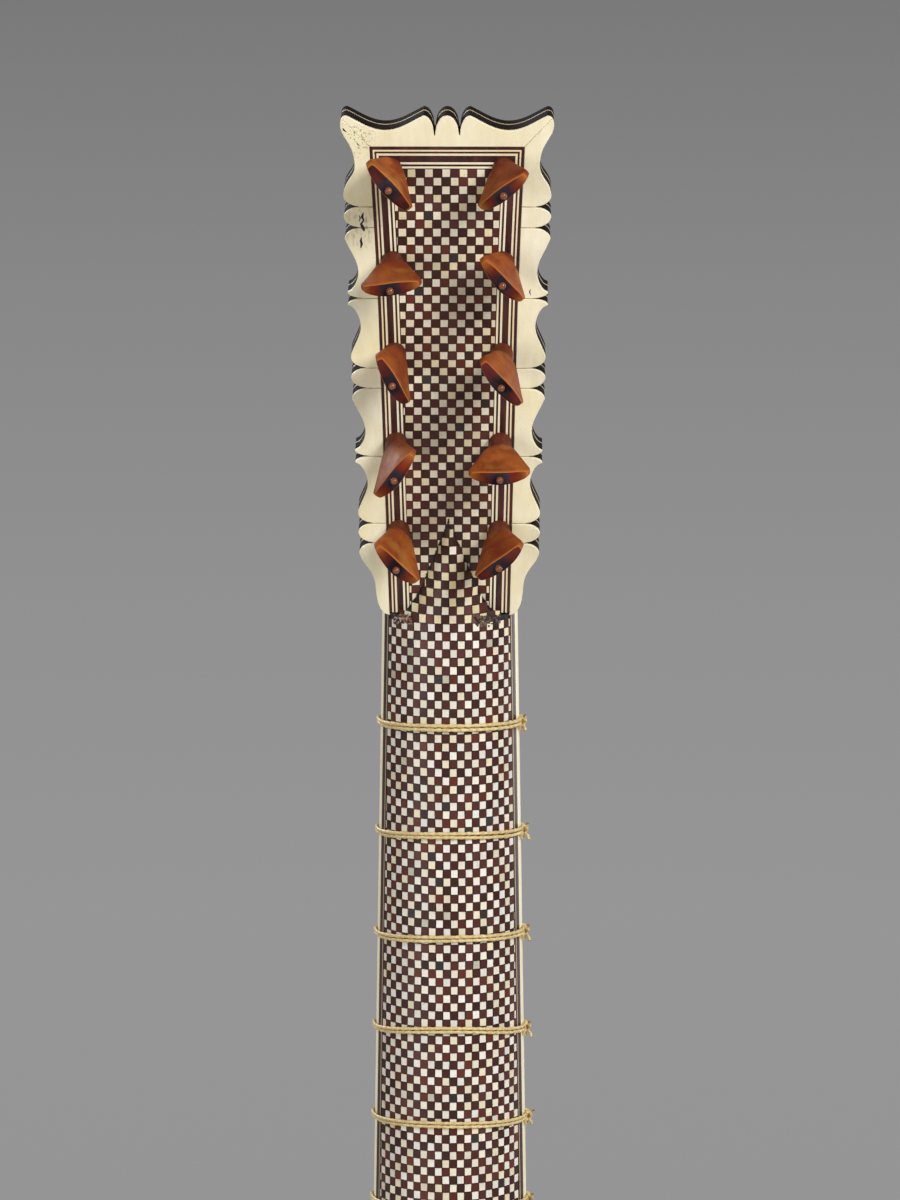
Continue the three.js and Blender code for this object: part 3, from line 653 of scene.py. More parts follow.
def ribbon(shape, left, right, low, high, place, slot=0, tints=None, closed=False, edge=0.05):
    """A strip between two paths, left and right of the way it runs, with softened upper edges."""
    rings = []
    for i, (a, b) in enumerate(zip(left, right)):
        tint = tints[i] if tints else WHITE
        inward = (b - a).normalized() * edge
        spots = [(b, low), (b, high - edge), (b - inward, high)]
        spots += [(a + inward, high), (a, high - edge), (a, low)]
        rings.append(shape.points([place(p.x, height, p.y) for p, height in spots], tint))
    if closed:
        shape.stack(rings + [rings[0]], slot, caps=(False, False))
    else:
        shape.stack(rings, slot)


def add_frame_lines():
    shape = Shape()
    base = frame_side(0, 1) + frame_side(0, -1)[::-1]
    prism(shape, base, [(BACK_FACE, 0), (HEAD_THICKNESS - 0.12, 0)], to_head, 0)
    offset = 0.0
    gap = 0.03
    for width, slot, tint in FRAME_LINES:
        a, b = offset + gap, offset + width - gap
        for side in (1, -1):
            outer, inner = frame_side(a, side), frame_side(b, side)
            paths = (inner, outer) if side > 0 else (outer, inner)
            ribbon(shape, *paths, BACK_FACE, LINE_TOP, to_head, slot, [tint] * len(outer))
        outer = [frame_corner(a, 1), frame_corner(a, -1)]
        inner = [frame_corner(b, 1), frame_corner(b, -1)]
        ribbon(shape, inner, outer, BACK_FACE, LINE_TOP, to_head, slot, [tint] * 2)
        offset += width
    finish_piece(shape.build("peghead_frame_lines", DARK_LINE, BONE), "body", "parquetry", "head_panel")


PALES = [(240, 234, 220), (242, 234, 216), (238, 229, 208), (236, 224, 194), (240, 235, 224)]
DARKS = [(74, 36, 32), (64, 30, 26), (78, 40, 36), (90, 40, 32), (60, 30, 27), (82, 43, 41)]
GREYED = [(196, 190, 168), (56, 48, 50)]


def tile_tint(pick, pale, warmth=0.0):
    """The colour of one small square. Warmth from 0 to 1 makes it older, creamier bone; the neck's squares keep
    none, so their whiter tone is partly a painted sheen.
    """
    base = pick.choice(PALES if pale else DARKS)
    if pick.random() < 0.015:
        base = GREYED[0 if pale else 1]
    shade = pick.uniform(0.95, 1.03) if pale else pick.uniform(0.88, 1.12)
    r, g, b = (min(255, c * shade) for c in base)
    return rgb(r, g * (1 - 0.03 * warmth), b * (1 - 0.13 * warmth))


def tile(shape, corners, low, high, place, tint, slot=0, edge=0.06):
    """A small square of veneer between four corners, counterclockwise, split once for curved ground."""
    a, b, c, d = corners
    ring = [a, lerp(a, b, 0.5), b, c, lerp(c, d, 0.5), d]
    middle = (a + b + c + d) / 4
    inner = [p + (middle - p).normalized() * edge for p in ring]
    base = shape.points([place(p.x, low, p.y) for p in ring], tint)
    top = shape.points([place(p.x, high, p.y) for p in inner], tint)
    shape.bridge(base, top, slot)
    shape.face([top[0], top[1], top[4], top[5]], slot)
    shape.face([top[1], top[2], top[3], top[4]], slot)


def jittered(pick, u0, u1, v0, v1, gap, amount):
    def spot(u, v):
        return Vector((u + pick.uniform(-amount, amount), v + pick.uniform(-amount, amount)))

    left, right, low, high = u0 + gap, u1 - gap, v0 + gap, v1 - gap
    return [spot(left, low), spot(right, low), spot(right, high), spot(left, high)]


HEAD_TILE_WIDTH = 2.79
LEAST_TILE = 0.5  # a square cut narrower than this is left out
UPPER_ROWS = 14
UPPER_ROW_HEIGHT = 2.915
LOWER_ROW_HEIGHT = 2.845
HEAD_COLUMNS = 12
TILE_GAP = 0.05
PALE_INSET = 0.1  # the pale squares are this much smaller on each side
SPUR_LENGTH = 35.4


def spur_half(v):
    """Half width of the neck's spur where it meets the peghead, v up the peghead."""
    share = min(max(v / SPUR_LENGTH, 0.0), 1.0)
    return 13.3 * (1 - share) + 5.5 * math.exp(-max(v, 0) / 3) * (1 - share)


def field_aside(v):
    """How far the squares' middle seam lies from the panel's middle: it wanders across going down."""
    return -1.25 + 0.0175 * (170 - v)


def add_head_tiles():
    shape = Shape()
    pick = random.Random(11)
    top = PANEL_TOP - FRAME_WIDTH * TOP_STRETCH - 0.1
    rows = int((top - PANEL_BOTTOM) / LOWER_ROW_HEIGHT) + 1
    v0 = top
    for row in range(rows):
        v1 = v0
        v0 = max(v1 - (UPPER_ROW_HEIGHT if row < UPPER_ROWS else LOWER_ROW_HEIGHT), PANEL_BOTTOM)
        if v1 - v0 < LEAST_TILE:
            continue
        aside = field_aside(v1)
        limit = panel_half((v0 + v1) / 2) - FRAME_WIDTH - 0.1
        covered = spur_half(v1) - 1.0 if v1 < SPUR_LENGTH else -1
        for column in range(-HEAD_COLUMNS // 2, HEAD_COLUMNS // 2 + 1):
            u0 = max(aside + column * HEAD_TILE_WIDTH, -limit)
            u1 = min(aside + (column + 1) * HEAD_TILE_WIDTH, limit)
            if u1 - u0 < LEAST_TILE or max(abs(u0), abs(u1)) < covered:
                continue
            pale = (row + column) % 2 == 0
            tint = tile_tint(pick, pale, 0.6)
            corners = jittered(pick, u0, u1, v0, v1, TILE_GAP + PALE_INSET * pale, 0.05)
            tile(shape, corners, BACK_FACE, HEAD_THICKNESS + pick.uniform(-0.03, 0.0), to_head, tint)
    finish_piece(shape.build("peghead_tiles", TILES), "body", "parquetry", "head_panel")


# ------------------------------------------------------------------ neck


def neck_half_width(z):
    return NECK_HALF_WIDTH + WIDTH_GROWTH * max(Z_NUT - z, 0)


def neck_depth(z):
    return NECK_DEPTH + DEPTH_GROWTH * max(Z_NUT - z, 0)


def plane_y(z):
    """Depth of the peghead's back face at a height, measured from the front plane."""
    return HEAD_THICKNESS / math.cos(HEAD_TILT) + (z - Z_NUT) * math.tan(HEAD_TILT)


ARC_STEPS = 90


def arc_table(z):
    """Half the neck's section from the back's middle to the front corner, with arc lengths."""
    half, deep = neck_half_width(z), neck_depth(z)
    places = []
    for i in range(ARC_STEPS + 1):
        angle = math.pi / 2 * i / ARC_STEPS
        places.append(Vector((half * math.sin(angle), deep * math.cos(angle))))
    lengths = [0.0]
    for a, b in zip(places, places[1:]):
        lengths.append(lengths[-1] + (b - a).length)
    return places, lengths


TABLES = {}


def section_at(z):
    key = round(z * 20)
    if key not in TABLES:
        TABLES[key] = arc_table(z)
    return TABLES[key]


def on_neck(s, lift, z):
    """A point of the neck's back: s along the section from its middle, lifted off the surface, at height z."""
    places, lengths = section_at(z)
    reach = min(abs(s), lengths[-1] - 1e-6)
    low, high = 0, ARC_STEPS
    while high - low > 1:
        middle = (low + high) // 2
        if lengths[middle] <= reach:
            low = middle
        else:
            high = middle
    share = (reach - lengths[low]) / (lengths[low + 1] - lengths[low])
    spot = places[low].lerp(places[low + 1], share)
    tangent = (places[low + 1] - places[low]).normalized()
    spot = spot + Vector((-tangent.y, tangent.x)) * lift
    x = math.copysign(spot.x, s) if s else spot.x
    return Vector((x, FACE_Y + spot.y, z))


def girth(z):
    return section_at(z)[1][-1]


NECK_TILE_WIDTH = 2.57
NECK_TILE_HEIGHT = 2.93
# Bands along each edge, from the front corner inwards: width along the section, and 0 dark or 1 bone.
EDGE_BANDS = [(6.1, 1, WHITE), (2.6, 0, (0.7, 0.7, 0.7, 1)), (0.6, 1, (0.5, 0.45, 0.38, 1)), (0.6, 0, WHITE)]
BANDS_WIDTH = sum(width for width, _, _ in EDGE_BANDS)
NECK_LOW = Z_SHOULDER + 0.1
NECK_HIGH = Z_NUT - 3.33  # where the rows of squares start to follow the spur
HEAD_FOOT = Z_NUT - 1.6  # where the peghead's lower edge stands on the neck


def add_neck_edges():
    shape = Shape()
    steps = 40
    for side in (1, -1):
        offset = 0.0
        for width, slot, tint in EDGE_BANDS:
            a, b = offset + 0.03, offset + width - 0.03
            rows = []
            for i in range(steps + 1):
                z = lerp(NECK_LOW, HEAD_FOOT, i / steps)
                total = girth(z)
                ring = []
                parts = 5 if width > 2 else 2
                for k in range(parts + 1):
                    ring.append(on_neck(side * (total - lerp(a, b, k / parts)), 0.0, z))
                inner = [on_neck(side * (total - s), -0.7, z) for s in (b, a)]
                rows.append(shape.points(ring + inner, tint))
            if side < 0:
                rows = [row[::-1] for row in rows]
            shape.stack(rows, slot)
            offset += width
    finish_piece(
        shape.build("neck_edge_bands", DARK_LINE, BONE), "body", "bone", "neck_edge_treble", "neck_edge_bass"
    )


def head_v(z):
    """How far up the peghead's back face a height is."""
    return (z - Z_NUT + HEAD_THICKNESS * math.sin(HEAD_TILT)) / math.cos(HEAD_TILT)


SPUR_FOOT_V = head_v(NECK_HIGH)
# Where the neck's half ellipse meets the peghead's back face.
SPUR_MEETS = NECK_HALF_WIDTH * math.sqrt(1 - (plane_y(NECK_HIGH) / NECK_DEPTH) ** 2)


def spur_point(x, lift, z):
    """A point of the spur that carries the neck's back up onto the peghead."""
    ground = plane_y(z)
    v = head_v(z)
    reach = min(abs(x) / max(spur_half(v), 0.05), 1.0)
    ellipse = NECK_DEPTH * math.sqrt(1 - (reach * SPUR_MEETS / NECK_HALF_WIDTH) ** 2)
    fall = 1 - min(max((v - SPUR_FOOT_V) / (SPUR_LENGTH - SPUR_FOOT_V), 0.0), 1.0)
    crown = max(ellipse - plane_y(NECK_HIGH), 0.0) * fall
    return Vector((x, FACE_Y + ground + 0.12 + crown + lift, z))


GROUND_LIFT = -0.3  # the ground lies this far below the squares' faces


def add_neck_base():
    """The dark ground between the small squares, on the neck and on its spur."""
    shape = Shape()
    rows = []
    for i in range(61):
        row = []
        for k in range(33):
            beside = abs(k - 16) > 11
            z = lerp(NECK_LOW, HEAD_FOOT if beside else NECK_HIGH, i / 60)
            reach = girth(z) - BANDS_WIDTH + 0.3
            row.append(on_neck(lerp(reach, -reach, k / 32), GROUND_LIFT, z))
        rows.append(shape.points(row))
    shape.stack(rows, 0, caps=(False, False), closed=False)
    rows = []
    for i in range(25):
        z = lerp(NECK_HIGH, Z_NUT + 29.6, i / 24)
        half = spur_half(head_v(z))
        rows.append(shape.points([spur_point(lerp(half, -half, k / 16), GROUND_LIFT, z) for k in range(17)]))
    shape.stack(rows, 0, caps=(False, False), closed=False)
    finish_piece(shape.build("neck_ground", WAX), "body", "parquetry", "neck_veneer")


def add_neck_tiles():
    shape = Shape()
    pick = random.Random(23)
    rows = int((NECK_HIGH - NECK_LOW) / NECK_TILE_HEIGHT) + 1
    for row in range(rows):
        z1 = NECK_HIGH - row * NECK_TILE_HEIGHT
        z0 = max(z1 - NECK_TILE_HEIGHT, NECK_LOW)
        if z1 - z0 < LEAST_TILE:
            continue
        limit = girth((z0 + z1) / 2) - BANDS_WIDTH
        columns = int(limit / NECK_TILE_WIDTH) + 1
        drift = 0.25 * math.sin(row * 0.13) - 0.4
        for column in range(-columns - 1, columns + 1):
            s0 = max(column * NECK_TILE_WIDTH + drift, -limit)
            s1 = min((column + 1) * NECK_TILE_WIDTH + drift, limit)
            if s1 - s0 < 0.35:
                continue
            pale = (row + column) % 2 == 0
            # Left at no warmth, these squares are whiter than the peghead's: partly their own colour, partly a
            # painted sheen.
            tint = tile_tint(pick, pale)
            corners = jittered(pick, s0, s1, z0, z1, TILE_GAP + PALE_INSET * pale, 0.06)
            tile(shape, corners[::-1], GROUND_LIFT, pick.uniform(-0.03, 0.02), on_neck, tint)
    add_spur_tiles(shape, pick)
    finish_piece(shape.build("neck_tiles", TILES), "body", "parquetry", "neck_veneer", "neck_spur")


def add_spur_tiles(shape, pick):
    for row in range(1, 12):
        z0 = NECK_HIGH + (row - 1) * NECK_TILE_HEIGHT
        z1 = z0 + NECK_TILE_HEIGHT
        limit = spur_half(head_v(0.6 * z0 + 0.4 * z1)) - 0.1
        for column in range(-8, 8):
            s0 = max(column * NECK_TILE_WIDTH, -limit)
            s1 = min((column + 1) * NECK_TILE_WIDTH, limit)
            if s1 - s0 < LEAST_TILE:
                continue
            pale = (row + column) % 2 == 0
            tint = tile_tint(pick, pale, pick.uniform(0.2, 1.4))
            corners = jittered(pick, s0, s1, z0, z1, TILE_GAP + PALE_INSET * pale, 0.08)
            tile(shape, corners[::-1], GROUND_LIFT, 0.0, spur_point, tint)


INKS = [(0.9, 1.0, 1.25, 1.0), (1.0, 1.0, 1.0, 1.0), (1.8, 1.35, 1.1, 1.0)]
CHIPS_TREBLE = [(150, 84, 50), (96, 62, 44), (196, 186, 166), (168, 160, 146)]
CHIPS_TREBLE += [(58, 50, 48), (40, 36, 38), (120, 108, 98)]
CHIPS_BASS = [(96, 72, 60), (78, 60, 54), (58, 46, 44), (110, 92, 80), (46, 40, 42)]


def add_spur_filler():
    """The black filler squeezed out along the spur's edges, broken up lower down, and chips at its foot."""
    shape = Shape()
    pick = random.Random(3)
    for side, thick, tip in ((1, 0.6, -1.2), (-1, 0.4, 5.0)):
        rows = []
        for i in range(91):
            v = lerp(1.0, SPUR_LENGTH - tip, i / 90)
            ragged = pick.uniform(0.1, 1.5) if v < 17 else pick.uniform(0.7, 1.2)
            width = thick * ragged * lerp(1.1, 0.7, i / 90)
            u = side * (spur_half(v) + 0.1 + pick.uniform(-0.16, 0.16))
            top = HEAD_THICKNESS + pick.uniform(0.15, 0.4)
            ring = [(u - width, HEAD_THICKNESS - 0.3), (u - 0.6 * width, top), (u + 0.5 * width, top)]
            ring.append((u + width, HEAD_THICKNESS - 0.3))
            rows.append(shape.points([to_head(a, b, v) for a, b in ring], pick.choice(INKS)))
        shape.stack(rows, 0)
    for side, near, far, colors in ((1, 13.5, 22.5, CHIPS_TREBLE), (-1, 9.5, 19.0, CHIPS_BASS)):
        for _ in range(70):
            s = side * pick.uniform(near, far)
            drop = 3.4 * pick.random() ** 1.4
            add_chip(shape, pick, s, HEAD_FOOT + 0.3 - drop, rgb(*pick.choice(colors)))
    finish_piece(shape.build("spur_filler", WAX, TILES), "body", "ebony")


def add_chip(shape, pick, s, z, tint):
    """A flake of old filler or bone on the neck's back."""
    wide, tall = pick.uniform(0.3, 0.9), pick.uniform(0.25, 0.7)
    rings = []
    for size, lift in ((1.0, -0.25), (0.9, 0.02), (0.45, 0.12)):
        ring = []
        for turn in turns_of(7):
            reach = size * pick.uniform(0.8, 1.1)
            ring.append(on_neck(s + wide * reach * math.cos(turn), lift, z + tall * reach * math.sin(turn)))
        rings.append(shape.points(ring, tint))
    shape.stack(rings, 1)


# ------------------------------------------------------------------ pegs

# Each peg's rest turn in degrees, collar length, thumb piece length, and the scale of its width and thickness.
PEGS = {
    "peg_treble_1": (-45, 8.0, 22.3, 0.98),
    "peg_treble_2": (52, 9.0, 21.1, 1.03),
    "peg_treble_3": (-61, 5.4, 21.4, 0.98),
    "peg_treble_4": (6, 7.7, 17.3, 0.97),
    "peg_treble_5": (-50, 2.6, 17.2, 1.04),
    "peg_bass_1": (39, 8.3, 20.3, 0.98),
    "peg_bass_2": (2, 10.3, 19.0, 1.0),
    "peg_bass_3": (-51, 9.3, 19.0, 1.03),
    "peg_bass_4": (-47, 4.2, 16.0, 0.98),
    "peg_bass_5": (38, 5.8, 18.4, 0.97),
}
THUMB_HALF_WIDTH = 10.1
THUMB_END_THICK = 2.35
END_BOW = 3.2
PIP_RADIUS = 1.2
COLLAR_RADIUS = 3.75
SHAFT_TIP_RADIUS = 2.7
SHAFT_COLLAR_RADIUS = 3.5
PEG_SHAFT_OUT = 15
PEG_SIDES = 64


def peg_matrix(body, turn):
    joint = PEG_JOINTS[body]
    place = Vector(joint["pos_m"]) / MM
    spin = Matrix.Rotation(math.radians(turn), 4, "Y")
    return Matrix.Translation(place) @ Matrix.Rotation(-HEAD_TILT, 4, "X") @ spin


def thumb_sections(collar, length, wide, scale):
    """Sections of a thumb piece: distance, half width, half thickness, and how flat its faces are."""
    round_from = 0.86  # the share of the length where the wings' corners start to round
    sections = [(0.3, COLLAR_RADIUS, COLLAR_RADIUS, 0.0), (collar - 0.5, COLLAR_RADIUS, COLLAR_RADIUS, 0.0)]
    sections.append((collar - 0.25, COLLAR_RADIUS + 0.1, COLLAR_RADIUS, 0.0))
    for i in range(21):
        share = (i / 20) ** 1.25
        half = lerp(COLLAR_RADIUS + 0.9, wide, min(1.0, share / round_from) ** 0.85)
        if share > round_from:
            half = wide * (1 - 0.1 * ((share - round_from) / (1 - round_from)) ** 2)
        thick = lerp(COLLAR_RADIUS - 0.15, THUMB_END_THICK * scale, share)
        sections.append((collar + (length - 0.35) * share, half, thick, min(1.0, 0.8 + 4 * share)))
    return sections


def add_peg(name, pick):
    turn, collar, length, scale = PEGS[name]
    body = f"{name}_turning"
    matrix = peg_matrix(body, turn)
    wide = THUMB_HALF_WIDTH * scale
    end = collar + length
    lopsided = pick.uniform(-0.04, 0.04)
    ruddy = pick.uniform(0.0, 0.3)
    dark_tips = pick.choice((0.0, 0.0, 1.0))
    waver = pick.uniform(0.0, 6.0)
    shape = Shape()

    def ring(y, across, thick, flat, tint, shrink=1.0):
        indices = []
        for angle in turns_of(PEG_SIDES):
            sine, cosine = math.sin(angle), math.cos(angle)
            x = across * math.copysign(abs(sine) ** lerp(1.0, 0.8, flat), sine)
            x *= shrink * (1 + lopsided * flat * math.copysign(1, x))
            z = thick * math.copysign(abs(cosine) ** lerp(1.0, 0.26, flat), cosine)
            z *= shrink * (1 - 0.46 * flat * min(1.0, abs(x / wide)) ** 1.8)
            z += 0.12 * flat * math.sin(4 * x / wide + waver)
            bow = END_BOW * max(0.0, (y - collar) / length) * (x / wide) ** 2
            color = tint(x / wide, y) if callable(tint) else tint
            indices.append(shape.point(matrix @ Vector((x, y - bow, z)), color))
        return indices

    def side_tint(across, y):
        share = (y - collar) / length
        root = max(0.0, 1 - share / 0.22)
        patch = max(0.0, math.sin(2.6 * across + 2.2 * share + waver)) * 0.5
        # Near the end ridge the faces brighten: wear and a painted highlight.
        wear_and_highlight = max(0.0, share - 0.93) * 10
        stained = 0.3 * root + 0.15 * abs(across) * share + ruddy + 0.3 * patch
        return (min(stained, 0.8), 0.05 * root, max(min(wear_and_highlight, 0.5), 0.4 * (0.5 - patch) * share), 1.0)

    def end_tint(across, y):
        middle = max(0.0, 1 - (abs(across) / 0.42) ** 2)
        tip = max(0.0, abs(across) - 0.6) / 0.4 * (1 - dark_tips)
        return (0.95 - 0.8 * tip, min(1.0, 1.6 * middle + 0.35 * dark_tips), 0.5 * tip, 1.0)

    front = -(HEAD_THICKNESS + PEG_SHAFT_OUT)
    rings = []
    for y, share in ((front, 0.6), (front + 0.25, 0.9), (front + 0.8, 1.0), (-0.2, 1.0)):
        radius = lerp(SHAFT_TIP_RADIUS, SHAFT_COLLAR_RADIUS, (y - front) / (0.3 - front)) * share
        rings.append(ring(y, radius, radius, 0.0, (0.5, 0.2, 0.0, 1.0)))
    for y, across, thick, flat in thumb_sections(collar, length, wide, scale):
        tint = (0.6, 0.28, 0.0, 1.0) if y < collar - 0.1 else side_tint
        rings.append(ring(y, across, thick, flat, tint))
    last_across, last_thick = 0.9 * wide, THUMB_END_THICK * scale
    # The ridge ring is fully brightened: a painted highlight line, partly wear.
    rings.append(ring(end - 0.14, 0.99 * last_across, 0.96 * last_thick, 1.0, (0.1, 0.0, 1.0, 1.0)))
    rings.append(ring(end - 0.02, 0.975 * last_across, 0.9 * last_thick, 1.0, end_tint))
    for shrink, rise in ((0.92, 0.05), (0.75, 0.18), (0.5, 0.28), (0.25, 0.33)):
        rings.append(ring(end + rise, last_across, last_thick, 1.0, end_tint, shrink))
    shape.stack(rings, 0)
    add_pip(shape, matrix, end)
    finish_piece(shape.build(name + "_carved", BOXWOOD, BEAD, sharp=30), body, "boxwood", name)


def add_pip(shape, matrix, end):
    """The small turned bead at a peg's end, on a short stem tinted dark all round."""
    profile = [(end - 0.4, 1.6), (end + 0.36, 1.5), (end + 0.42, 0.95)]
    centre = end + 1.25
    for i in range(1, 10):
        angle = math.pi * (0.24 + 0.76 * i / 9)
        profile.append((centre - PIP_RADIUS * math.cos(angle), PIP_RADIUS * math.sin(angle)))
    rings = []
    for y, radius in profile[:-1]:
        # The stem is tinted dark and blue-black all round; the bead is stained, with a little of the wear and
        # painted highlight.
        tint = (1.0, 1.0, 0.0, 1.0) if y < end + 0.6 else (0.75, 0.0, 0.2, 1.0)
        spots = [Vector((radius * math.sin(a), y, radius * math.cos(a))) for a in turns_of(20)]
        rings.append(shape.points([matrix @ spot for spot in spots], tint))
    shape.stack(rings[:4], 0, caps=(True, False))
    shape.stack(rings[3:], 1, caps=(False, True))


def add_pegs():
    pick = random.Random(41)
    for name in PEGS:
        add_peg(name, pick)


# ------------------------------------------------------------------ tied frets

FRET_COUNT = 8
FRET_GUT = 1.4
FRET_GAP = 0.3


def fret_z(n):
    return Z_NUT - STRING_LENGTH * (1 - 2 ** (-n / 12))


def fret_path(z, lift, rise):
    """The loop of a fret: round the back, where it rides up, from the bass corner, and back along the front."""
    half, deep = neck_half_width(z) + lift, neck_depth(z) + lift
    corner = 1.2
    points = []
    for i in range(65):
        angle = math.pi * i / 64
        up = rise * math.sin(angle) ** 2
        points.append(Vector((-half * math.cos(angle), FACE_Y + deep * math.sin(angle), z + up)))
    for i in range(1, 5):
        angle = math.pi / 2 * i / 4
        points.append(Vector((half - corner + corner * math.cos(angle), FACE_Y - lift * math.sin(angle), z)))
    for i in range(1, 12):
        points.append(Vector((lerp(half - corner, corner - half, i / 12), FACE_Y - lift, z)))
    for i in range(4):
        angle = math.pi / 2 * (1 - i / 4)
        points.append(Vector((corner - half - corner * math.cos(angle), FACE_Y - lift * math.sin(angle), z)))
    return points


def resample(points, step, closed):
    loop = points + [points[0]] if closed else points
    lengths = [0.0]
    for a, b in zip(loop, loop[1:]):
        lengths.append(lengths[-1] + (b - a).length)
    count = max(2, round(lengths[-1] / step))
    made = []
    k = 0
    for i in range(count if closed else count + 1):
        reach = lengths[-1] * i / count
        while k < len(lengths) - 2 and lengths[k + 1] < reach:
            k += 1
        share = (reach - lengths[k]) / max(lengths[k + 1] - lengths[k], 1e-9)
        made.append(loop[k].lerp(loop[k + 1], share))
    return made


def strand(shape, points, radius, closed=False, twist=3.2, plies=2, depth=0.13, sides=10, tint=WHITE, slot=0):
    """A twisted strand along points spaced evenly: its section is lobed and turns once every twist mm."""
    count = len(points)
    travelled = 0.0
    rings = []
    up = Vector((0.03, 0.05, 1.0)).normalized()
    for i, here in enumerate(points):
        before = points[i - 1] if closed or i else here
        after = points[(i + 1) % count] if closed or i < count - 1 else here
        tangent = (after - before).normalized()
        side = tangent.cross(up)
        if side.length < 0.2:
            side = tangent.cross(Vector((1, 0, 0)))
        side.normalize()
        other = side.cross(tangent).normalized()
        if i:
            travelled += (here - points[i - 1]).length
        phase = 2 * math.pi * travelled / twist
        places = []
        for angle in turns_of(sides):
            size = radius * (1 + depth * math.cos(plies * angle - phase) - depth)
            places.append(here + side * (size * math.cos(angle)) + other * (size * math.sin(angle)))
        rings.append(shape.points(places, tint))
    if closed:
        shape.stack(rings + [rings[0]], slot, caps=(False, False))
    else:
        shape.stack(rings, slot)


def add_fret(n, pick):
    z = fret_z(n)
    rise = edge_mm(f"fret_{n}", 1, 2) - z - FRET_GUT
    radius = FRET_GUT / 2 * (1.0 - 0.03 * n)
    width = neck_half_width(z)
    shape = Shape()
    tilt = pick.uniform(-0.9, 0.3)
    for lane in (1, -1):
        path = fret_path(z, FRET_GAP / 2 + radius * (1.0 + 0.15 * (lane > 0)), rise)
        waver = pick.uniform(0, 6)
        for p in path:
            x = p.x / width
            apart = 1.08 + 0.14 * math.sin(3.1 * x + waver) - 0.25 * max(0.0, x) ** 3
            p.z += lane * radius * apart + tilt * x * 0.5
        twist = 2.6 + pick.uniform(-0.3, 0.3)
        strand(shape, resample(path, 0.5, True), radius, closed=True, twist=twist)
    add_knot(shape, Vector((-width - 0.9, FACE_Y + 3.4, z - tilt * 0.5)), radius, pick)
    finish_piece(shape.build(f"gut_fret_{n}", GUT), "body", "gut", f"fret_{n}")


def add_knot(shape, centre, radius, pick):
    """A small fret knot on the bass side: a turn round both strands, a loop, and two short cut ends."""
    for reach, lean, low, size in ((1.75, 0.25, 0.0, 1.0), (1.45, -0.45, 0.35, 0.95), (0.95, 0.9, -2.1, 0.85)):
        points = []
        for i in range(31):
            angle = 2 * math.pi * 1.1 * i / 30 + lean
            x = -0.25 + 0.75 * reach * 0.6 * math.cos(angle) + lean * 0.6
            y = 1.0 * math.sin(angle + lean) + 0.4
            z = reach * math.sin(angle) + low
            points.append(centre + Vector((x, y, z)))
        strand(shape, resample(points, 0.4, False), radius * size, twist=2.6, sides=8)
    for side, reach in ((1, pick.uniform(0.9, 1.5)), (-1, pick.uniform(1.6, 2.2))):
        start = centre + Vector((-0.5, 0.9, 0.9 * side))
        end = start + Vector((-pick.uniform(0.5, 1.5), 0.9, side * reach))
        middle = start.lerp(end, 0.5) + Vector((-0.5, 0.2, 0))
        points = [start.lerp(middle, t).lerp(middle.lerp(end, t), t) for t in (i / 6 for i in range(7))]
        strand(shape, points, radius * 0.8, twist=2.6, sides=8)
        tip = [end + (end - middle).normalized() * (0.1 * i) for i in range(3)]
        strand(shape, tip, radius * 0.86, sides=8, depth=0.02, tint=(0.45, 0.3, 0.2, 1))


def add_frets():
    pick = random.Random(17)
    for n in range(1, FRET_COUNT + 1):
        add_fret(n, pick)


# ------------------------------------------------------------------ body, front and fittings

BODY_LENGTH = Z_SHOULDER - Z_TAIL
SIDE_DEPTH = 58
BACK_CROWN = 40
TOP_THICKNESS = 2.4
STAVES = 7
STAVE_THICKNESS = 2.4
ROSE_Z = Z_TAIL + 292
ROSE_RADIUS = 42
SHOULDER_FLAT = 34  # half the width of the flat stretch beside the neck
INLAY_DEPTH = -0.2
RELIEF = 0.05  # how far inlay stands out of its ground


def front(u, height, v):
    """A point over the soundboard: across, height in front of its face, and up."""
    return Vector((u, FACE_Y - height, v))


def body_half(steps=26):
    lower, waist, upper, top = 124, 84, 102, BODY_LENGTH
    half = bezier((0, 0), (0.56 * lower, 0), (lower, 42), (lower, 116), steps)
    half += bezier((lower, 116), (lower, 186), (waist, 204), (waist, 274), steps)[1:]
    half += bezier((waist, 274), (waist, 326), (upper, 334), (upper, 386), steps)[1:]
    return half + bezier((upper, 386), (upper, 440), (62, top), (SHOULDER_FLAT, top), steps)[1:]


BODY_HALF = body_half()


def body_width(s):
    """Half width of the body at a height above the tail."""
    for a, b in zip(BODY_HALF, BODY_HALF[1:]):
        if b.y >= s:
            return lerp(a.x, b.x, (s - a.y) / max(b.y - a.y, 1e-6))
    return BODY_HALF[-1].x


def inset_half(distance, half=None):
    """Half of the body's outline moved inwards, raised to the body's place."""
    points = half or BODY_HALF
    moved = []
    for i, here in enumerate(points):
        along = (points[min(i + 1, len(points) - 1)] - points[max(i - 1, 0)]).normalized()
        x = here.x - along.y * distance if i else 0.0
        moved.append(Vector((x, here.y + (along.x * distance if i else distance) + Z_TAIL)))
    return moved


def whole(half):
    return half + mirror(half)[:-1]


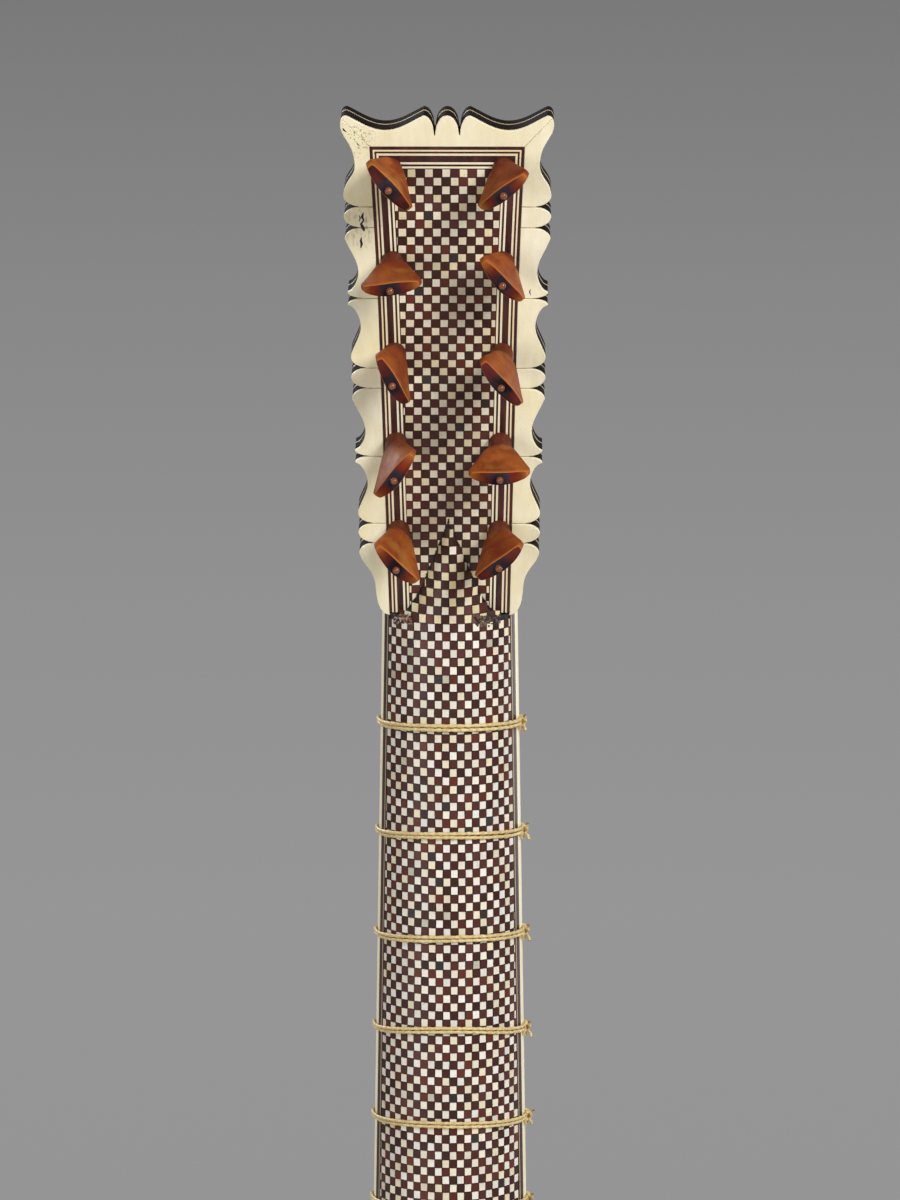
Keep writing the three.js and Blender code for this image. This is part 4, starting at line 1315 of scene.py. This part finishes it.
def add_soundboard():
    shape = Shape()
    outer = whole(inset_half(2.55))
    centre = Vector((0, ROSE_Z))
    hole = [centre + (p - centre).normalized() * ROSE_RADIUS for p in outer]
    loops = []
    for points, height in ((hole, -TOP_THICKNESS), (hole, 0), (outer, 0), (outer, -TOP_THICKNESS)):
        loops.append(shape.points([front(p.x, height, p.y) for p in points]))
    shape.stack(loops + [loops[0]], caps=(False, False))
    finish_piece(shape.build("spruce_soundboard", SPRUCE), "body", "spruce", "soundboard")

    shape = Shape()
    ribbon(shape, whole(inset_half(0)), whole(inset_half(2.5)), -TOP_THICKNESS, RELIEF, front, closed=True)
    finish_piece(shape.build("soundboard_binding", BONE), "body", "bone", "top_binding")

    shape = Shape()
    path = resample(whole(BODY_HALF), 4.2, True)
    count = len(path) // 2 * 2
    path = resample(whole(BODY_HALF), 4.2 * len(path) / count, True)
    along = [(path[(i + 1) % count] - path[i - 1]).normalized() for i in range(count)]
    inward = [Vector((-a.y, a.x)) for a in along]

    def lane(depth, slant=0.0):
        return [p + n * depth + a * slant + Vector((0, Z_TAIL)) for p, n, a in zip(path, inward, along)]

    for near, far, slot in ((3.0, 3.7, 1), (3.7, 4.2, 0), (7.4, 7.9, 0), (7.9, 8.6, 1)):
        ribbon(shape, lane(near), lane(far), INLAY_DEPTH, RELIEF, front, slot, closed=True)
    low, high = lane(4.25, -1.0), lane(7.35, 1.0)
    for i in range(count):
        j = (i + 1) % count
        ribbon(shape, [low[i], low[j]], [high[i], high[j]], INLAY_DEPTH, RELIEF, front, i % 2)
    add_rose_rings(shape)
    finish_piece(shape.build("soundboard_inlay", EBONY, BONE), "body", "parquetry")


def circle(radius, count, start=0.0):
    turns = [2 * math.pi * (i + start) / count for i in range(count)]
    return [Vector((radius * math.cos(a), ROSE_Z + radius * math.sin(a))) for a in turns]


def add_rose_rings(shape):
    for near, far, slot in ((42.3, 43.2, 1), (43.2, 43.8, 0), (49.2, 49.8, 0), (49.8, 50.8, 1)):
        ribbon(shape, circle(far, 96), circle(near, 96), INLAY_DEPTH, RELIEF, front, slot, closed=True)
    low, high = circle(43.8, 72), circle(49.2, 72, 0.5)
    for i in range(72):
        j = (i + 1) % 72
        ribbon(shape, [high[i], high[j]], [low[i], low[j]], INLAY_DEPTH, RELIEF, front, i % 2)


ROSE_RADII = [45.5, 33, 24, 15, 6]
ROSE_TIER = 5


def add_rose():
    """Tracery over the sunken tiers: on each a dark ground with rings, bars and small hoops of parchment."""
    shape = Shape()
    start = -TOP_THICKNESS - 0.1
    for tier, (outer, inner) in enumerate(zip(ROSE_RADII, ROSE_RADII[1:] + [0.6])):
        floor = start - ROSE_TIER * tier
        outer = min(outer, ROSE_RADIUS - 0.2)
        lip = inner + 0.2 if tier < 4 else 0.6
        ribbon(shape, circle(outer, 64), circle(lip, 64), floor - 0.2, floor + 0.1, front, 1, closed=True)
        for near, far in ((outer - 1.3, outer), (lip, lip + 1.1)):
            ribbon(shape, circle(far, 64), circle(near, 64), floor, floor + 0.9, front, 0, closed=True)
        cells = (20, 16, 12, 8, 6)[tier]
        middle = (outer + lip) / 2
        hoop = min((outer - lip) * 0.3, math.pi * middle / cells * 0.72)
        for i in range(cells):
            angle = 2 * math.pi * i / cells
            ray = Vector((math.cos(angle), math.sin(angle)))
            aside = Vector((-ray.y, ray.x)) * 0.35
            centre = Vector((0, ROSE_Z))
            ends = [centre + ray * (lip + 0.5), centre + ray * (outer - 0.5)]
            ribbon(shape, [e + aside for e in ends], [e - aside for e in ends], floor, floor + 0.7, front, 0)
            turned = angle + math.pi / cells
            eye = centre + Vector((math.cos(turned), math.sin(turned))) * middle
            rings = []
            for radius in (hoop, hoop - 0.55):
                rings.append([eye + Vector((math.cos(a), math.sin(a))) * radius for a in turns_of(16)])
            ribbon(shape, *rings, floor, floor + 0.8, front, 0, closed=True)
            if tier < 4:
                post = centre + ray * (inner + 0.25)
                left, right = post + aside * 1.3 - ray * 0.6, post - aside * 1.3
                ribbon(shape, [left] * 2, [right] * 2, floor - ROSE_TIER, floor, front, 0)
    finish_piece(shape.build("rose_tracery", PARCHMENT, WAX), "body", "parchment")


def add_sides():
    """The ribs: dark wood with flush lines of bone, between the soundboard and the back."""
    levels = [2.5, 4.2, 5.1, 28.6, 29.5, 55.3, 56.2, 57.9]
    for name, flip in (("treble", 1), ("bass", -1)):
        shape = Shape()
        rings = []
        shoulder = [Vector((SHOULDER_FLAT * (1 - k / 4), Z_SHOULDER)) for k in range(1, 5)]
        outer = inset_half(0) + shoulder
        inner = inset_half(2.2) + [p - Vector((0, 2.2)) for p in shoulder]
        for a, b in zip(outer, inner):
            ring = [(a.x, y, a.y) for y in levels]
            ring += [(max(b.x, 0.0), y, b.y) for y in (levels[-1], levels[0])]
            rings.append(shape.points([Vector((flip * (x + 0.05), FACE_Y + y, z)) for x, y, z in ring]))
        for low, high in zip(rings, rings[1:]):
            for k in range(len(low)):
                m = (k + 1) % len(low)
                shape.face([low[k], low[m], high[m], high[k]], 1 if k in (1, 3, 5) else 0)
        shape.face(rings[0][::-1])
        shape.face(rings[-1])
        finish_piece(shape.build(f"rib_{name}", SNAKEWOOD, BONE), "body", "snakewood", f"side_{name}")


def back_point(across, s, lift=0.0):
    share = s / BODY_LENGTH
    swell = math.sqrt(max(0.0, 1 - abs(2 * share - 1) ** 3.2))
    depth = SIDE_DEPTH + BACK_CROWN * swell * max(0.0, 1 - across**2) ** 0.6 + STAVE_THICKNESS
    return Vector((across * body_width(s), FACE_Y + depth + lift, Z_TAIL + s))


def add_back():
    """Seven slightly fluted staves with bone fillets between them."""
    steps = 48
    heights = [0.8 + (BODY_LENGTH - 1.6) * (1 - math.cos(math.pi * i / steps)) / 2 for i in range(steps + 1)]
    fillets = Shape()
    for i in range(STAVES):
        start, end = 2 * i / STAVES - 1, 2 * (i + 1) / STAVES - 1
        shape = Shape()
        rings = []
        for s in heights:
            gap = 0.55 / max(body_width(s), 20)
            spots = [lerp(start + gap, end - gap, k / 8) for k in range(9)]
            flute = [0.9 * math.sin(math.pi * k / 8) for k in range(9)]
            outer = [back_point(a, s, f) for a, f in zip(spots, flute)]
            inner = [back_point(a, s, -STAVE_THICKNESS) for a in (spots[-1], spots[4], spots[0])]
            rings.append(shape.points(outer + inner))
        shape.stack(rings)
        finish_piece(
            shape.build(f"stave_{i + 1}", SNAKEWOOD), "body", "snakewood", f"back_stave_{i + 1}"
        )
        if i:
            rings = []
            for s in heights:
                gap = 0.5 / max(body_width(s), 20)
                spots = ((start - gap, -1.2), (start - gap, 0.1), (start + gap, 0.1), (start + gap, -1.2))
                rings.append(fillets.points([back_point(a, s, lift) for a, lift in spots]))
            fillets.stack(rings)
    finish_piece(fillets.build("back_fillets", BONE), "body", "bone")


def add_heel():
    shape = Shape()
    rings = []
    for i in range(37):
        station = i / 36
        y = lerp(SIDE_DEPTH + 1.5, 8, station)
        reach = 9 + 35 * station**2.2
        ring = []
        for k in range(33):
            angle = math.pi * (k / 32 - 0.5)
            z = Z_SHOULDER + 0.1 + reach * math.cos(angle)
            x = (15 + 13 * station) * math.sin(angle)
            room = 1 - (y / neck_depth(z)) ** 2
            if room > 0:
                limit = neck_half_width(z) * math.sqrt(room) - 0.3
                x = max(-limit, min(limit, x)) if y < 20 else x
            ring.append(Vector((x, FACE_Y + y, z)))
        rings.append(shape.points(ring))
    shape.stack(rings[:3], 1, caps=(True, False))
    shape.stack(rings[2:], 0, caps=(False, True))
    finish_piece(shape.build("carved_heel", SNAKEWOOD, BONE), "body", "snakewood", "heel")


def turned(shape, profile, place, sides=40):
    """A turned piece through (radius, distance) pairs."""
    rings = []
    for radius, reach in profile:
        spots = [(radius * math.cos(a), radius * math.sin(a), reach) for a in turns_of(sides)]
        rings.append(shape.points([place(*spot) for spot in spots]))
    shape.stack(rings)


def add_button():
    shape = Shape()
    spots = [(4.6, 0), (5.6, 1), (6.2, 3), (5, 5.6), (3.4, 8), (4.4, 10.4), (6.4, 11.8)]
    profile = [(4.2, 0)]
    for a, b in zip(spots, spots[1:]):
        for k in range(6):
            ease = (1 - math.cos(math.pi * k / 6)) / 2
            profile.append((lerp(a[0], b[0], ease), lerp(a[1], b[1], k / 6)))
    turned(shape, profile + [spots[-1]], lambda x, y, z: Vector((x, y, z)))
    finish_piece(shape.build("turned_tail_button", BONE), "body", "bone", "tail_button")


def spread(course, pair):
    return [2 * course + pair / 2, 2 * course - pair / 2, course + pair / 2, course - pair / 2, pair / 2]


AT_NUT = spread(7.2, 2.8)
AT_BRIDGE = spread(13.5, 4.4)
STRING_RADIUS = 0.35
STRING_NUT_Y = -2.3
STRING_BRIDGE_Y = -8.6


def add_nut():
    shape = Shape()
    half = NECK_HALF_WIDTH - 2.2
    slots = [side * x for x in AT_NUT for side in (1, -1)]
    rings = []
    for i in range(201):
        x = lerp(half, -half, i / 200)
        slot = max(0.0, 1 - min(abs(x - s) for s in slots) / 0.55)
        top = -2.55 + 0.75 * min(1.0, 1.6 * slot) + 0.6 * (x / half) ** 4
        section = [(2.9, -4.05), (top + 1.0, -4.05), (top + 0.1, -3.4), (top, -2.4)]
        section += [(top + 0.35, -0.9), (top + 1.4, -0.15), (2.9, -0.05)]
        rings.append(shape.points([Vector((x, FACE_Y + y, Z_NUT + z)) for y, z in section]))
    shape.stack(rings)
    finish_piece(shape.build("slotted_nut", BONE), "body", "bone", "nut")


def add_fingerboard():
    """Lines of bone set in the fingerboard and in the peghead's front."""
    shape = Shape()
    for near, far in ((1.6, 2.1), (3.0, 4.0), (4.9, 5.3)):
        for side in (1, -1):
            paths = []
            for inset in (near, far):
                spots = [(lerp(Z_SHOULDER + 1, Z_NUT - 5, i / 12)) for i in range(13)]
                paths.append([Vector((side * (neck_half_width(z) - 1.6 - inset), z)) for z in spots])
            ribbon(shape, *(paths if side > 0 else paths[::-1]), -0.3, RELIEF, front)
    for near, far in ((2.0, 2.7), (4.0, 4.4)):
        corners = [(1, 6), (1, PANEL_TOP - 4), (-1, PANEL_TOP - 4), (-1, 6)]
        loops = []
        for inset in (near, far):
            loop = []
            for side, v in corners:
                edge = v + inset * (1 if v < 50 else -1)
                loop.append(Vector((side * (panel_half(v) - inset), edge)))
            loops.append(loop)
        ribbon(shape, *loops, 0.3, -RELIEF, to_head, closed=True)
    finish_piece(shape.build("front_stringing", BONE), "body", "bone")


def add_bridge():
    shape = Shape()
    half = 60
    outline = bezier((half, -10), (half + 4, -9), (half + 7, -6), (half + 6.5, -2.5), 8)
    outline += bezier((half + 6.5, -2.5), (half + 4, 0.5), (half + 3, -3.5), (half, 2), 10)[1:]
    outline = [Vector((p.x, p.y + Z_BRIDGE)) for p in outline]
    outline = mirror(outline) + outline
    block = [(0.1, 0.0), (6.6, 0.0), (7.6, 0.5), (7.9, 1.4)]
    prism(shape, outline, block, front)
    for low, high in ((-9.0, -8.2), (-1.0, -0.2)):
        paths = [[Vector((x, Z_BRIDGE + v)) for x in (-56, 56)] for v in (high, low)]
        ribbon(shape, *paths, 7.5, 7.95, front, 1)
    finish_piece(shape.build("moustache_bridge", EBONY, BONE), "body", "ebony", "bridge")


def add_strings():
    for side_name, side in (("treble", 1), ("bass", -1)):
        for row in range(5):
            name = f"peg_{side_name}_{row + 1}_turning"
            shaft = HEAD.inverted() @ (Vector(PEG_JOINTS[name]["pos_m"]) / MM)
            x = side * AT_BRIDGE[row]
            at_nut = side * AT_NUT[row]
            wound = row - 8.0
            coil = 3.25
            points = [Vector((x, FACE_Y - 3.5, Z_BRIDGE - 7)), Vector((x, FACE_Y - 3.5, Z_BRIDGE + 2.6))]
            for i in range(37):
                angle = 2 * math.pi * 1.5 * i / 36 - math.pi / 2
                spot = (0.75 * math.cos(angle), -7.5 + 1.15 * math.sin(angle), 3.2 + 1.6 * i / 36)
                points.append(Vector((x + spot[0], FACE_Y + spot[1], Z_BRIDGE + spot[2])))
            points += [front(x, -STRING_BRIDGE_Y, Z_BRIDGE + 9)]
            points += [front(at_nut, -STRING_NUT_Y, Z_NUT - 3), front(at_nut, -STRING_NUT_Y, Z_NUT - 1)]
            points.append(to_head(shaft.x - side * coil, wound, shaft.z))
            shape = Shape()
            evened = [p for a, b in zip(points, points[1:]) for p in (a, a.lerp(b, 0.5))] + [points[-1]]
            strand(shape, evened, STRING_RADIUS * (1 + 0.12 * row), depth=0.0, sides=8)
            finish_piece(
                shape.build(f"gut_{side_name}_{row + 1}", GUT), "body", "gut", f"string_{side_name}_{row + 1}"
            )

            turns, sides = 4.6, 24
            points = []
            for i in range(int(turns * sides) + 1):
                angle = math.pi * (side > 0) + side * 2 * math.pi * i / sides
                reach = wound - 0.85 * i / sides
                points.append(to_head(shaft.x + coil * math.cos(angle), reach, shaft.z + coil * math.sin(angle)))
            shape = Shape()
            strand(shape, points, STRING_RADIUS * (1 + 0.12 * row), depth=0.0, sides=8)
            finish_piece(shape.build(f"winding_{side_name}_{row + 1}", GUT), name, "gut")


CRACKS = [
    [
        *((27.2, 145.6, 0.15), (27.6, 144.2, 0.55), (27.1, 143.0, 0.3)),
        *((27.9, 141.8, 0.45), (27.3, 140.4, 0.7), (27.0, 139.2, 0.2)),
    ],
    [(28.6, 144.8, 0.1), (28.2, 143.7, 0.25), (28.5, 142.6, 0.12)],
    [(27.9, 137.2, 0.12), (28.1, 136.0, 0.4), (27.8, 134.8, 0.5), (28.2, 133.4, 0.15)],
    [(33.3, 174.4, 0.2), (32.9, 173.6, 0.45), (32.2, 173.1, 0.2)],
    [(29.0, 169.6, 0.1), (28.4, 168.7, 0.3), (27.7, 168.4, 0.1)],
    [(-27.0, 119.2, 0.1), (-26.7, 118.2, 0.25), (-27.1, 117.1, 0.1)],
]


def add_cracks():
    """Old cracks and losses in the bone border, filled with dirt."""
    shape = Shape()
    for crack in CRACKS:
        spots = [Vector((u, v)) for u, v, _ in crack]
        left = [p + Vector((size, 0)) for p, (_, _, size) in zip(spots, crack)]
        right = [p - Vector((0.8 * size, 0)) for p, (_, _, size) in zip(spots, crack)]
        ribbon(shape, left, right, HEAD_THICKNESS - 0.3, HEAD_THICKNESS + 0.02, to_head, edge=0.02)
    finish_piece(shape.build("border_cracks", WAX), "body", "ebony")


# ------------------------------------------------------------------ stage, lights and camera

CAMERA_DISTANCE = 1400
CAMERA_RAISE = math.radians(10.5)
CAMERA_ASIDE = math.radians(1.0)
CAMERA_LENS = 123.1
CAMERA_SENSOR = 36
TARGET_ABOVE_NUT = 1.1


def add_camera():
    target = Vector((0, FACE_Y, Z_NUT + TARGET_ABOVE_NUT))
    level = Vector((-math.sin(CAMERA_ASIDE), math.cos(CAMERA_ASIDE), 0))
    direction = level * math.cos(CAMERA_RAISE) + Vector((0, 0, math.sin(CAMERA_RAISE)))
    data = bpy.data.cameras.new("camera")
    data.lens = CAMERA_LENS
    data.sensor_width = CAMERA_SENSOR
    data.clip_start = 0.05
    camera = bpy.data.objects.new("camera", data)
    camera.location = (target + direction * CAMERA_DISTANCE) * MM
    camera.rotation_euler = (target * MM - camera.location).to_track_quat("-Z", "Y").to_euler()
    bpy.context.scene.collection.objects.link(camera)
    bpy.context.scene.camera = camera


def add_softbox(name, place, aim, size, power, color=(1, 1, 1)):
    data = bpy.data.lights.new(name, "AREA")
    data.shape = "RECTANGLE"
    data.size, data.size_y = size
    data.energy = power
    data.color = color
    light = bpy.data.objects.new(name, data)
    light.location = place
    light.rotation_euler = (Vector(aim) - Vector(place)).to_track_quat("-Z", "Y").to_euler()
    bpy.context.scene.collection.objects.link(light)


def add_lights():
    aim = (0, 0, 0.8)
    add_softbox("key", (-1.3, 1.7, 2.1), aim, (0.9, 0.9), 54)
    add_softbox("fill", (1.9, 1.9, 1.0), aim, (1.2, 1.6), 24)
    add_softbox("front_key", (1.5, -2.2, 1.9), (0, 0, 0.5), (1.2, 1.2), 42)
    add_softbox("front_fill", (-1.8, -1.9, 0.9), (0, 0, 0.5), (1.2, 1.6), 18)


def add_backdrop_light():
    """A grey surround, darker above the horizon, the same for every ray."""
    world = bpy.data.worlds.new("surround")
    bpy.context.scene.world = world
    world.use_nodes = True
    nodes, links = world.node_tree.nodes, world.node_tree.links
    coordinates = nodes.new("ShaderNodeTexCoord")
    split = nodes.new("ShaderNodeSeparateXYZ")
    ramp = nodes.new("ShaderNodeValToRGB")
    shift = nodes.new("ShaderNodeMapRange")
    shift.inputs["From Min"].default_value = -0.34
    shift.inputs["From Max"].default_value = 0.0
    links.new(coordinates.outputs["Generated"], split.inputs[0])
    links.new(split.outputs["Z"], shift.inputs["Value"])
    links.new(shift.outputs["Result"], ramp.inputs["Fac"])
    stops = [(0.0, 149), (0.25, 150), (0.47, 145), (0.68, 136), (0.86, 124), (0.95, 117)]
    set_stops(ramp, [(position, rgb(grey, grey, grey)) for position, grey in stops])
    links.new(ramp.outputs["Color"], nodes["Background"].inputs["Color"])


def add_floor():
    shape = Shape()
    radius = 1150
    rings = []
    for size, z in ((radius, -6), (radius, -1.5), (radius - 1.5, 0)):
        rings.append(shape.points([(size * math.cos(a), size * math.sin(a), z) for a in turns_of(96)]))
    shape.stack(rings)
    f = Finish("floor", 0.75)
    f.color(f.ramp(f.noise(12, 3), (0.3, rgb(196, 195, 192)), (0.7, rgb(204, 203, 200))))
    floor = shape.build("floor", f.material)


# ------------------------------------------------------------------ carried-over frame parts


def finish_frame_parts():
    kept = {"fingerboard": EBONY, "rose": PARCHMENT}
    kept |= dict.fromkeys(("neck_core", "neck_block", "tail_block", "brace_upper", "brace_lower"), SOFTWOOD)
    for node, made in frame["nodes"].items():
        material = kept.get(node)
        if material is None:
            continue
        mesh = made.data
        layer = mesh.color_attributes.new("tint", "FLOAT_COLOR", "POINT")
        layer.data.foreach_set("color", [1.0] * (4 * len(mesh.vertices)))
        mesh.materials.clear()
        mesh.materials.append(material)


add_camera()
add_lights()
add_backdrop_light()
add_floor()
add_core()
add_front()
add_border()
add_frame_lines()
add_head_tiles()
add_neck_edges()
add_neck_base()
add_neck_tiles()
add_spur_filler()
add_pegs()
add_frets()
add_cracks()
add_soundboard()
add_rose()
add_sides()
add_back()
add_heel()
add_button()
add_nut()
add_fingerboard()
add_bridge()
add_strings()
finish_frame_parts()

bpy.context.scene.view_settings.view_transform = "Standard"
bpy.context.view_layer.update()
